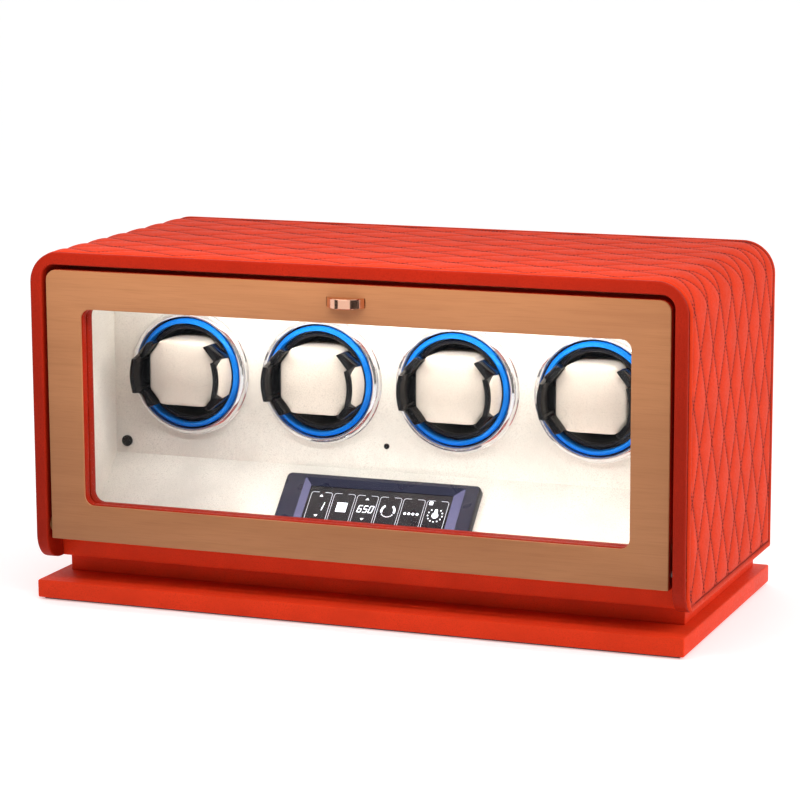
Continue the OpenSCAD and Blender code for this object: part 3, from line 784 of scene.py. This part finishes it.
def make_quilt():
    """The cover: puffed diamonds, bound edges, and a row of stitches along each seam."""
    margin, ease = 9 * MM, 40 * MM
    columns = lattice(margin, WRAP_L - margin, CROSS_U, CELL_U / 36) + edge_rows(0, WRAP_L)
    rows = lattice(COVER_LOW.y + margin, COVER_HIGH.y - margin, CROSS_Y, CELL_Y / 18)
    rows = sorted(rows + edge_rows(COVER_LOW.y, COVER_HIGH.y))
    u, y = np.meshgrid(np.array(sorted(columns)), np.array(rows), indexing="ij")
    share = 1 - np.clip((y - COVER_LOW.y) / ease, 0, 1)
    y = y + share * (cover_front(u) - COVER_LOW.y)
    height = puff(u, y)
    points = cover_point(u, y, height).reshape(-1, 3)
    wide, tall = u.shape
    i, j = np.meshgrid(np.arange(wide - 1), np.arange(tall - 1), indexing="ij")
    a, b = (i * tall + j).ravel(), ((i + 1) * tall + j).ravel()
    c, d = b + 1, a + 1
    flat = height.ravel()
    split = (flat[a] + flat[c] <= flat[b] + flat[d])[:, None]
    first = np.where(split, np.stack([a, c, b], 1), np.stack([a, d, b], 1))
    second = np.where(split, np.stack([a, d, c], 1), np.stack([b, d, c], 1))
    faces = np.concatenate([first, second]).tolist()
    cover = mesh_piece("quilt_cover", points.tolist(), faces, smooth=True)
    # Mask for the shade painted along the seams and the binding's inner edge.
    seam_shade_marks = cover.data.attributes.new("painted_seam_shade", "FLOAT", "POINT")
    seam_shade_marks.data.foreach_set("value", painted_seam_shade(u, y).ravel())
    dress(cover, "cabinet", "quilted_leather", "quilted_cover")
    make_stitches()


def stitch_run(start, end, pitch):
    """Middles of the stitches on a straight run, from start to end as (u, y)."""
    length = math.dist(start, end)
    count = int(length / pitch)
    t = (np.arange(count) + 0.5) / max(count, 1)
    return np.array(start) + t[:, None] * (np.array(end) - np.array(start))


def make_stitches():
    """Short spindles of thread laid in the seams and along the binding.

    More seams and stitches are laid than the cover holds, and those off it are dropped."""
    pitch, inset, seams, reach = 3.0 * MM, BINDING + 0.2 * MM, range(-20, 40), 450
    middles, headings = [], []
    for sign in (1, -1):
        heading = np.array([CELL_U, sign * CELL_Y]) / math.hypot(CELL_U, CELL_Y)
        for n in seams:
            cross = np.array([CROSS_U + n * CELL_U, CROSS_Y])
            along = np.arange(-reach, reach) * pitch
            run = cross + along[:, None] * heading
            keep = (run[:, 0] > 0) & (run[:, 0] < WRAP_L)
            keep &= (run[:, 1] > COVER_LOW.y) & (run[:, 1] < COVER_HIGH.y)
            run = run[keep]
            run = run[edge_distance(run[:, 0], run[:, 1]) > BINDING + 1.0 * MM]
            middles.append(run)
            headings.append(np.tile(heading, (len(run), 1)))
    back, foot = COVER_HIGH.y - inset, (inset, WRAP_L - inset)
    runs = [stitch_run((foot[0], back), (foot[1], back), pitch)]
    runs += [stitch_run((u, COVER_LOW.y + TOE_R), (u, back), pitch) for u in foot]
    turned = [np.tile([1.0, 0.0], (len(runs[0]), 1))]
    turned += [np.tile([0.0, 1.0], (len(run), 1)) for run in runs[1:]]
    front = stitch_run((foot[0] + TOE_R, 0), (foot[1] - TOE_R, 0), pitch)
    front[:, 1] = cover_front(front[:, 0]) + inset
    runs.append(front)
    turned.append(np.tile([1.0, 0.0], (len(front), 1)))
    middle = np.concatenate(middles + runs)
    heading = np.concatenate(headings + turned)
    side = np.stack([-heading[:, 1], heading[:, 0]], 1)
    half_length, half_width, lift = 0.9 * MM, 0.85 * MM, 0.6 * MM

    def at(offset, raised):
        spot = middle + offset
        return cover_point(spot[:, 0], spot[:, 1], puff(middle[:, 0], middle[:, 1]) + raised)

    ring = [
        at(heading * half_length, 0.2 * MM), at(side * half_width, 0.2 * MM),
        at(-heading * half_length, 0.2 * MM), at(-side * half_width, 0.2 * MM),
        at(heading * 0, lift), at(heading * 0, -0.3 * MM),
    ]
    points = np.stack(ring, 1).reshape(-1, 3)
    above = [(0, 1, 4), (1, 2, 4), (2, 3, 4), (3, 0, 4)]
    pattern = np.array(above + [(1, 0, 5), (2, 1, 5), (3, 2, 5), (0, 3, 5)])
    faces = (np.arange(len(middle))[:, None, None] * 6 + pattern).reshape(-1, 3)
    thread = mesh_piece("quilt_stitches", points.tolist(), faces.tolist(), smooth=True)
    dress(outward(thread), "cabinet", "quilted_leather", material="stitch_thread")


# ------------------------------------------------------------------ door

DOOR_LOW, DOOR_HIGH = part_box("door_panel")
DOOR_R, WINDOW_R = 8 * MM, 7 * MM
WINDOW_LOW = (-209.35 * MM, DOOR_LOW.z + 27.5 * MM)
WINDOW_HIGH = (209.35 * MM, DOOR_HIGH.z - 28.7 * MM)


def door_outline(inset=0.0):
    """The door's edge, or a line inside it."""
    return rounded_outline(
        (DOOR_LOW.x + inset, DOOR_LOW.z + inset), (DOOR_HIGH.x - inset, DOOR_HIGH.z - inset),
        DOOR_R - inset, 10, 0.6 * MM,
    )


def window_outline(grow=0.0):
    """The window's edge in the veneer, or a line outside it."""
    low = (WINDOW_LOW[0] - grow, WINDOW_LOW[1] - grow)
    high = (WINDOW_HIGH[0] + grow, WINDOW_HIGH[1] + grow)
    return rounded_outline(low, high, WINDOW_R + grow, 10)


def make_door():
    """The leather-wrapped core, the veneered front, and the frame behind the glass."""
    core_low, core_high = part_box("door_core")
    front = plate(
        "door_leather_front", [door_outline(), window_outline()],
        core_low.y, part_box("door_glass")[LOW].y, 0.7 * MM,
    )
    rear = plate(
        "door_leather_rear", [door_outline(), window_outline(6 * MM)],
        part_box("door_glass")[LOW].y, core_high.y, 0.7 * MM,
    )
    dress(merge_smooth("door_core_leather", [front, rear]), "door", "smooth_leather", "door_core")
    face = plate(
        "door_veneer", [door_outline(0.15 * MM), window_outline(0.35 * MM)],
        DOOR_LOW.y, DOOR_HIGH.y - 0.02 * MM, 0.6 * MM, 3,
    )
    dress(face, "door", "veneer", "door_panel")
    low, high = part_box("glass_retainer")
    outlines = [window_outline(5.8 * MM), window_outline(1 * MM)]
    retainer = plate("glass_frame", outlines, low.y + 0.1 * MM, high.y, 0.6 * MM)
    dress(retainer, "door", "smooth_leather", "glass_retainer")


def make_knob():
    """A half-round plated knob: a disc cut off by the door, with a fine bevel at both rims."""
    low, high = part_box("door_knob")
    radius = (high.x - low.x) / 2
    centre_y, bevel, steps = low.y + radius, 0.35 * MM, 64
    rim = radius - bevel
    profile = [(low.z, rim), (low.z + bevel, radius), (high.z - bevel, radius), (high.z, rim)]
    points, faces = [], []
    for s in range(steps + 1):
        turn = math.pi * (1 + s / steps)
        for z, r in profile:
            points.append((r * math.cos(turn), min(centre_y + r * math.sin(turn), high.y), z))
    count = len(profile)
    for s in range(steps):
        for k in range(count - 1):
            here, there = s * count + k, (s + 1) * count + k
            faces.append((here, there, there + 1, here + 1))
    faces.append(tuple(s * count for s in range(steps + 1)))
    faces.append(tuple(s * count + count - 1 for s in reversed(range(steps + 1))))
    last = steps * count
    faces.append(tuple(range(count)) + tuple(last + k for k in reversed(range(count))))
    knob = outward(mesh_piece("knob_rose_gold", points, faces))
    dress(crease_smooth(knob, 25), "door", "rose_gold", "door_knob")


# ------------------------------------------------------------------ rotors


def rotor_axis(k):
    """The x and z of a rotor's axis."""
    low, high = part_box(f"rotor_drum_{k}")
    return (low.x + high.x) / 2, (low.z + high.z) / 2


def make_bezels():
    """Polished rings on the fascia: a bevelled inner edge, a rounded crown and a thin flange."""
    low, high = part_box("rotor_bezel_1")
    front, back = low.y, high.y
    flange = (high.x - low.x) / 2
    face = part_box("fascia_panel")[LOW].y
    profile = round_profile([
        (42.8 * MM, back), (42.8 * MM, front - 0.2 * MM), (44.0 * MM, front - 0.6 * MM),
        (46.0 * MM, front + 0.6 * MM), (47.0 * MM, front + 2.4 * MM), (47.0 * MM, face - 1.4 * MM),
        (flange, face - 0.7 * MM),
        (flange, face - 0.05 * MM), (44.8 * MM, face - 0.05 * MM), (44.8 * MM, back),
    ], 0.35 * MM)
    for k in ROTORS:
        ring = lathe(f"bezel_chrome_{k}", profile, *rotor_axis(k))
        dress(ring, "cabinet", "chrome_trim", f"rotor_bezel_{k}")


def make_light_rings():
    """The blue rings, whose inner lip stands forward, each on a dark seat behind its bezel."""
    front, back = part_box("rotor_bezel_1")[LOW].y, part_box("light_rings")[HIGH].y
    foot = front + 7.5 * MM
    blue = round_profile([
        (37.5 * MM, front + 1.2 * MM), (37.9 * MM, front - 1.1 * MM), (38.7 * MM, front - 1.2 * MM),
        (41.3 * MM, front + 1.3 * MM), (41.3 * MM, foot), (37.5 * MM, foot),
    ], 0.25 * MM)
    seat = round_profile([
        (36.8 * MM, foot), (41.2 * MM, foot), (41.2 * MM, back - 2 * MM),
        (43.8 * MM, back - 2 * MM), (43.8 * MM, back), (36.8 * MM, back),
    ], 0.15 * MM)
    made = (("ring_blue", blue, "blue_ring", "light_rings"), ("ring_seats", seat, "black_gloss"))
    for name, profile, slot, *nodes in made:
        rings = [lathe(f"part_{k}", profile, *rotor_axis(k)) for k in ROTORS]
        dress(merge_smooth(name, rings, 30), "cabinet", slot, *nodes)


def make_drums():
    """Black cups with a lip painted a shade lighter and bluer as its glossy reflection, a step
    inside and a hub behind.
    """
    low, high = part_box("rotor_drum_1")
    front, rim, hub_back = low.y, (high.x - low.x) / 2 - 0.05 * MM, high.y
    back = hub_back - 7 * MM
    cup = round_profile([
        (33.4 * MM, front + 3 * MM), (rim, front + 3 * MM), (rim, back),
        (10 * MM, back), (10 * MM, hub_back), (4.05 * MM, hub_back), (4.05 * MM, back - 3 * MM),
        (31.5 * MM, back - 3 * MM), (33.2 * MM, back - 6 * MM),
    ], 0.3 * MM)
    lip = round_profile([
        (33.2 * MM, front + 3.2 * MM), (33.2 * MM, front + 0.8 * MM), (34.0 * MM, front),
        (rim, front), (rim, front + 3.2 * MM),
    ], 0.3 * MM)
    for k in ROTORS:
        drum = lathe(f"drum_{k}", cup, *rotor_axis(k))
        dress(drum, f"rotor_{k}", "black_matte", f"rotor_drum_{k}")
        edge = lathe(f"drum_lip_{k}", lip, *rotor_axis(k))
        dress(edge, f"rotor_{k}", "black_matte", material="drum_lip_painted_sheen")


# ------------------------------------------------------------------ holders and cushions


def shoulder_y():
    """Where the clips' bars and the pads end, just in front of the bezels."""
    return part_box("rotor_bezel_1")[LOW].y - 2 * MM


def prism(name, outline, front, back):
    """A straight prism: an outline of (x, z) taken from front to back along Y."""
    count = len(outline)
    points = [(x, y, z) for y in (front, back) for x, z in outline]
    faces = [tuple(range(count)), tuple(reversed(range(count, 2 * count)))]
    faces += [(i, i + count, (i + 1) % count + count, (i + 1) % count) for i in range(count)]
    return outward(mesh_piece(name, points, faces))


def hull(name, points, edge):
    """The convex solid round some points, with rounded edges."""
    shape = bmesh.new()
    for point in points:
        shape.verts.new(point)
    made = bmesh.ops.convex_hull(shape, input=shape.verts)
    left_over = made["geom_interior"] + made["geom_unused"]
    spare = dict.fromkeys(v for v in left_over if isinstance(v, bmesh.types.BMVert))
    bmesh.ops.delete(shape, geom=list(spare), context="VERTS")
    bmesh.ops.dissolve_limit(
        shape, angle_limit=math.radians(2), verts=shape.verts, edges=shape.edges
    )
    data = bpy.data.meshes.new(name)
    shape.to_mesh(data)
    shape.free()
    return soften(outward(linked(name, data)), edge)


def cheek_bar(side, front, shoulder):
    """The upright bar: rounded in front, and bowed outwards half way up."""
    half, bow, levels = 13.0, 2.0, 16
    section = [(30.2, 1.0), (30.7, 0.25), (31.9, 0), (33.0, 0.1), (33.9, 0.8), (34.2, 2.0)]
    points, count = [], len(section) + 2
    for i in range(levels + 1):
        z = half * (2 * i / levels - 1)
        shift = bow * math.cos(math.pi / 2 * z / half)
        ring = [((x + shift) * MM, front + y * MM) for x, y in section]
        ring += [((34.2 + shift) * MM, shoulder), ((30.2 + shift) * MM, shoulder)]
        points += [(side * x, y, z * MM) for x, y in ring]
    faces = band_faces(count, levels + 1) + end_caps(count, levels + 1)
    return crease_smooth(outward(mesh_piece("bar", points, faces)), 35)


def cheek_parts(side, front, shoulder, back):
    """One side of a holder: the bar, a brow and a wing at each end, and the arm into the drum."""
    parts = [cheek_bar(side, front, shoulder)]
    for up in (1, -1):
        brow, wing = [], []
        for x in (30.4, 34.4):
            brow += [(x, front + 0.8 * MM, 12.6), (x, front + 2 * MM, 9)]
            brow += [(x, front + 14 * MM, 15.8), (x, shoulder, 15.8), (x, shoulder, 9)]
        fronts = ((35.0, 14.0, 15.9), (25.0, 8.6, 24.8), (20.0, 9.8, 23.2))
        for x, y, z in fronts + ((28.4, 10.6, 12.4), (34.4, 12.0, 10)):
            wing += [(x, front + y * MM, z), (x, shoulder, z)]
        for points, edge in ((brow, 0.8 * MM), (wing, 0.9 * MM)):
            placed = [(side * x * MM, y, up * z * MM) for x, y, z in points]
            parts.append(hull("part", placed, edge))
    arm = [(27.5, -9), (31.5, -9), (31.5, 9), (27.5, 9)]
    outline = [(side * x * MM, z * MM) for x, z in arm]
    parts.append(soften(prism("arm", outline, shoulder - 5 * MM, back), 0.7 * MM))
    return parts


def make_holders():
    """Glossy black clips that hold each cushion at its sides, on a round plate in the drum."""
    low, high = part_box("watch_holder_1")
    front, back = low.y, high.y
    plate_r, plate_front, middle_r = (high.z - low.z) / 2, back - 3 * MM, 0.2 * MM
    corners = [(plate_r, plate_front), (plate_r, back), (middle_r, back), (middle_r, plate_front)]
    disc = round_profile(corners, 0.15 * MM)
    for k in ROTORS:
        x, z = rotor_axis(k)
        parts = [part for side in (1, -1) for part in cheek_parts(side, front, shoulder_y(), back)]
        parts.append(lathe("disc", disc, 0, 0, 96))
        holder = merge(f"holder_{k}", parts)
        holder.data.transform(Matrix.Translation((x, 0, z)))
        dress(crease_smooth(holder, 40), f"holder_{k}", "black_gloss", f"watch_holder_{k}")


def inflate(piece, voxel, pressure, cap, frames=20):
    """Remeshes a closed shape and swells it as cloth; no point moves further than cap."""
    remesh = piece.modifiers.new("remesh", "REMESH")
    remesh.mode = "VOXEL"
    remesh.voxel_size = voxel
    apply_modifiers(piece)
    start = np.array([v.co for v in piece.data.vertices])
    cloth = piece.modifiers.new("cloth", "CLOTH")
    settings = cloth.settings
    settings.use_pressure = True
    settings.uniform_pressure_force = pressure
    settings.effector_weights.gravity = 0
    settings.tension_stiffness = settings.compression_stiffness = 40
    settings.bending_stiffness = 2
    settings.quality = 5
    cloth.point_cache.frame_end = frames
    for number in range(1, frames + 1):
        bpy.context.scene.frame_set(number)
    graph = bpy.context.evaluated_depsgraph_get()
    moved = np.array([v.co for v in piece.evaluated_get(graph).data.vertices])
    piece.modifiers.clear()
    bpy.context.scene.frame_set(1)
    shift = moved - start
    length = np.linalg.norm(shift, axis=1, keepdims=True)
    shift *= np.minimum(1, cap / np.maximum(length, 1e-9))
    piece.data.vertices.foreach_set("co", (start + shift).ravel())
    piece.data.update()
    return piece


def subdivide(piece):
    """One subdivision, applied, with smooth shading."""
    surface = piece.modifiers.new("surface", "SUBSURF")
    surface.levels = surface.render_levels = 1
    apply_modifiers(piece)
    piece.data.shade_smooth()
    return piece


def cushion_shape():
    """One cushion about the origin's X and Z: a stuffed block with cut corners."""
    low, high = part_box("watch_cushion_1")
    front, back = low.y + 11 * MM, high.y
    width, height, cut_x, cut_z, pull = (v * MM for v in (28.6, 26.4, 9.5, 12, 1.6))
    w, h = width - pull, height - pull
    outline = [
        (w, h - cut_z), (w - cut_x, h), (cut_x - w, h), (-w, h - cut_z),
        (-w, cut_z - h), (cut_x - w, -h), (w - cut_x, -h), (w, cut_z - h),
    ]
    piece = prism("cushion_form", outline, front + pull, back - pull)
    inflate(piece, 2.6 * MM, 4, 1.7 * MM)
    return subdivide(piece)


def make_cushions():
    """Stuffed cushions, all swelled from one form, and the pads on each holder's cheeks."""
    form = cushion_shape()
    front, shoulder, pad_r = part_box("watch_cushion_1")[LOW].y, shoulder_y(), 38.0
    bend = shoulder - 9.5 * MM
    quarter = ((34.0, front, 10.5), (36.2, front, 10.0), (34.0, bend, 15.2), (34.6, bend, 15.2))
    corners = [(px, py, up * pz) for px, py, pz in quarter for up in (1, -1)]
    for lift in range(-16, 17, 2):
        reach = math.sqrt(pad_r ** 2 - lift ** 2) - 0.6
        corners += [(px, shoulder - 0.3 * MM, lift) for px in (34.0, reach)]
    for k in ROTORS:
        x, z = rotor_axis(k)
        cushion = linked(f"cushion_{k}", form.data.copy())
        cushion.data.transform(Matrix.Translation((x, 0, z + 1.0 * MM)))
        dress(cushion, f"holder_{k}", "cushion_leather", f"watch_cushion_{k}")
        pads = []
        for side in (1, -1):
            placed = [(side * px * MM, py, pz * MM) for px, py, pz in corners]
            pads.append(hull("pad", placed, 0.9 * MM))
        pad = merge(f"cheek_pads_{k}", pads)
        pad.data.transform(Matrix.Translation((x, 0, z)))
        dress(crease_smooth(pad, 50), f"holder_{k}", "cushion_leather")
    bpy.data.objects.remove(form)


# ------------------------------------------------------------------ console


def slope_matrix():
    """The console's own plane: X across, Y up the slope from its bend, Z outwards."""
    bend = Vector((0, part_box("fascia_panel")[LOW].y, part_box("console_panel")[HIGH].z))
    return Matrix.Translation(bend) @ Matrix.Rotation(math.radians(45), 4, "X")


def slope_plate(name, outlines, low, high, edge):
    """A plate on the console's plane, from low to high over it."""
    piece = plate(name, outlines, -high, -low, edge)
    piece.data.transform(Matrix.Rotation(-math.pi / 2, 4, "X"))
    piece.data.transform(slope_matrix())
    return piece


CONSOLE_MID = -34 * MM
KEYS_MID = CONSOLE_MID - 2.2 * MM
CONSOLE_W, CONSOLE_H, CONSOLE_PROUD = 153 * MM, 48 * MM, 6 * MM
DISPLAY_W, DISPLAY_H, DISPLAY_PROUD = 112 * MM, 30 * MM, 2.5 * MM
INK_LOW, INK_HIGH = DISPLAY_PROUD - 0.05 * MM, DISPLAY_PROUD + 0.12 * MM


def centred(width, height, radius):
    """A rounded outline about the console's middle."""
    low, high = CONSOLE_MID - height / 2, CONSOLE_MID + height / 2
    return rounded_outline((-width / 2, low), (width / 2, high), radius, 5)


def make_console():
    """The slate frame with its bevelled inner walls, and the black panel with six lit keys.

    finishes gives the material that runs from each ring to the next. The recess is drawn a
    little to the right of the frame's middle, with a wider lip than the CAD's."""
    proud, sunk, lip = CONSOLE_PROUD, DISPLAY_PROUD, 5 * MM
    rings = [
        (CONSOLE_W, CONSOLE_H, 4 * MM, -0.2 * MM), (CONSOLE_W, CONSOLE_H, 4 * MM, proud - 1.4 * MM),
        (CONSOLE_W - 0.8 * MM, CONSOLE_H - 0.8 * MM, 3.6 * MM, proud - 0.5 * MM),
        (CONSOLE_W - 2.6 * MM, CONSOLE_H - 2.6 * MM, 2.8 * MM, proud),
        (DISPLAY_W + 2 * lip + 5 * MM, DISPLAY_H + 2 * lip + 1 * MM, 1.2 * MM, proud),
        (DISPLAY_W + 2 * lip + 4 * MM, DISPLAY_H + 2 * lip, 1.0 * MM, proud - 0.3 * MM),
        (DISPLAY_W + 0.4 * MM, DISPLAY_H + 0.4 * MM, 0.4 * MM, sunk + 0.4 * MM),
        (DISPLAY_W + 0.2 * MM, DISPLAY_H + 0.2 * MM, 0.4 * MM, sunk - 1.0 * MM),
    ]
    # finishes: 0 is the frame's slate, 1 a lighter copy painted as highlight on the ends of the
    # recess's bevel, 2 a darker copy painted as shade on the outer and inner walls.
    finishes = [2, 2, 2, 0, 0, 1, 2, 2]
    points = []
    for width, height, radius, level in rings:
        aside = 2 * MM if DISPLAY_W + 1 * MM < width < CONSOLE_W - 3 * MM else 0
        points += [(x + aside, y, level) for x, y in centred(width, height, radius)]
    count = len(points) // len(rings)
    faces = band_faces(count, len(rings), closed=True)
    piece = outward(mesh_piece("console_frame", points, faces))
    piece.data.transform(slope_matrix())
    dress(crease_smooth(piece, 25), "cabinet", "slate_plastic", "console_bezel")
    for extra in ("slate_painted_highlight", "slate_painted_shade"):
        piece.data.materials.append(materials[extra])
    for face in piece.data.polygons:
        finish = finishes[face.index // count]
        face.material_index = 0 if finish == 1 and abs(face.center.x) < DISPLAY_W / 2 else finish
    outline = centred(DISPLAY_W, DISPLAY_H, 0.6 * MM)
    screen = slope_plate("display_panel", [outline], sunk - 3 * MM, sunk, 0.15 * MM)
    dress(screen, "cabinet", "display_glass", "touch_display")
    make_keys()


def stroke(points, width):
    """A thin raised line through (x, y) points on the console's plane."""
    made = []
    for i, (x, y) in enumerate(points):
        before, after = points[max(i - 1, 0)], points[min(i + 1, len(points) - 1)]
        along = Vector((after[0] - before[0], after[1] - before[1])).normalized()
        off = Vector((-along.y, along.x)) * width / 2
        one, two = (x + off.x, y + off.y), (x - off.x, y - off.y)
        made += [(*one, INK_HIGH), (*two, INK_HIGH), (*two, INK_LOW), (*one, INK_LOW)]
    return mesh_piece("stroke", made, band_faces(4, len(points)) + end_caps(4, len(points)))


def patch(points):
    """A thin raised shape with this outline on the console's plane."""
    count = len(points)
    made = [(x, y, z) for z in (INK_LOW, INK_HIGH) for x, y in points]
    faces = [tuple(reversed(range(count))), tuple(range(count, 2 * count))]
    faces += [(i, (i + 1) % count, (i + 1) % count + count, i + count) for i in range(count)]
    return mesh_piece("patch", made, faces)


def polygon(x, y, corners):
    """A patch whose corners are millimetres from x, y."""
    return patch([(x + px * MM, y + py * MM) for px, py in corners])


def key_outline(x, width, height):
    """Two brackets that nearly meet at the top of a key."""
    low, high = KEYS_MID - height / 2, KEYS_MID + height / 2
    gap, radius, line = 2.4 * MM, 1.8 * MM, 0.3 * MM
    parts = []
    for side in (1, -1):
        corner = arc((width / 2 - radius, high - radius), radius, 90, 0, 5)
        foot = arc((width / 2 - radius, low + radius), radius, 0, -90, 5)
        path = [(gap, high)] + corner + foot + [(0.0, low)]
        parts.append(stroke([(x + side * px, py) for px, py in path], line))
    return parts


def triangle(x, y, size, up):
    """A filled arrowhead; up is 1, or -1 for one that points down."""
    return patch([(x - size, y), (x + size, y), (x, y + up * size * 1.1)][::up])


def digit(x, y, number, width, height):
    """A leaning seven-segment digit."""
    lean, line = 0.18, 0.62 * MM
    w, h = width / 2, height / 2
    corners = {
        "tl": (-w, h), "tr": (w, h), "ml": (-w, 0), "mr": (w, 0), "bl": (-w, -h), "br": (w, -h),
    }
    segments = {
        "a": ("tl", "tr"), "b": ("tr", "mr"), "c": ("mr", "br"), "d": ("bl", "br"),
        "e": ("ml", "bl"), "f": ("tl", "ml"), "g": ("ml", "mr"),
    }
    shown = {0: "abcdef", 1: "bc", 5: "acdfg", 6: "acdefg"}[number]
    place = {k: (x + px + lean * py, y + py) for k, (px, py) in corners.items()}
    return [stroke([place[segments[s][0]], place[segments[s][1]]], line) for s in shown]


def dot(x, y, radius):
    """A filled circle."""
    return patch(arc((x, y), radius, 0, 345, 23))


def make_keys():
    """Six outlined keys: a rotor's number, stop, turns a day, direction, all rotors, and lamp."""
    width, height, pitch = 16.6 * MM, 24.6 * MM, 18.3 * MM
    xs = [(i - 2.5) * pitch for i in range(6)]
    mid = CONSOLE_MID - 1.6 * MM
    outlines, parts = [], []
    for x in xs:
        outlines += key_outline(x, width, height)
    for x in (xs[0], xs[2]):
        parts.append(triangle(x, mid + 8.0 * MM, 1.5 * MM, 1))
        parts.append(triangle(x, mid - 8.0 * MM, 1.5 * MM, -1))
    parts += digit(xs[0] + 2 * MM, mid - 0.5 * MM, 1, 3.4 * MM, 7 * MM)
    for i, number in enumerate((6, 5, 0)):
        parts += digit(xs[2] + (i - 1) * 4.4 * MM + 0.6 * MM, mid, number, 2.7 * MM, 5.6 * MM)
    parts.append(polygon(xs[1], mid, ((-4, -4), (4, -4), (4, 4), (-4, 4))))
    for side in (1, -1):
        turn = arc((xs[3], mid), 5.0 * MM, 90 - side * 35, 90 - side * 108, 12)
        parts.append(stroke(turn, 1.5 * MM))
    parts += [dot(*p, 0.4 * MM) for p in arc((xs[3], mid), 5.2 * MM, 218, 322, 6)]
    parts += [dot(xs[4] + (i - 1.5) * 3.2 * MM, mid - 1 * MM, 1.05 * MM) for i in range(4)]
    parts.append(dot(xs[5] + 0.3 * MM, mid - 0.8 * MM, 2.5 * MM))
    parts.append(polygon(xs[5], mid, ((-1.1, 0.8), (1.7, 0.8), (1.2, 4.6), (-0.6, 4.6))))
    for p in arc((xs[5] + 0.3 * MM, mid - 0.6 * MM), 5.6 * MM, 130, 410, 10):
        parts.append(dot(*p, 0.55 * MM))
    parts.append(polygon(xs[5], mid, ((-6.6, 8.0), (-3.8, 8.0), (-3.8, 10.8), (-6.6, 10.8))))
    groups = (("key_symbols", parts, "key_light"), ("key_outlines", outlines, "key_line"))
    for name, pieces, finish in groups:
        keys = merge(name, pieces)
        keys.data.transform(slope_matrix())
        dress(outward(keys), "cabinet", "display_glass", material=finish)


# ------------------------------------------------------------------ carried-over CAD nodes


def dress_cad():
    """Gives every CAD node that still shows the finish of its slot."""
    slots = {s["node"]: s["material_slot"] for s in frame["record"]["subparts"]}
    for name, node in frame["nodes"].items():
        if node.hide_render:
            continue
        node.data.materials.clear()
        node.data.materials.append(materials[slots[name]])


# ------------------------------------------------------------------ everything, in order

add_camera()
add_world()
add_lights()
materials = make_materials()
add_floor()
add_cards()
bpy.context.scene.view_settings.view_transform = "Standard"
make_hood()
make_plinth()
make_quilt()
make_door()
make_knob()
make_bezels()
make_light_rings()
make_drums()
make_holders()
make_cushions()
make_console()
dress_cad()
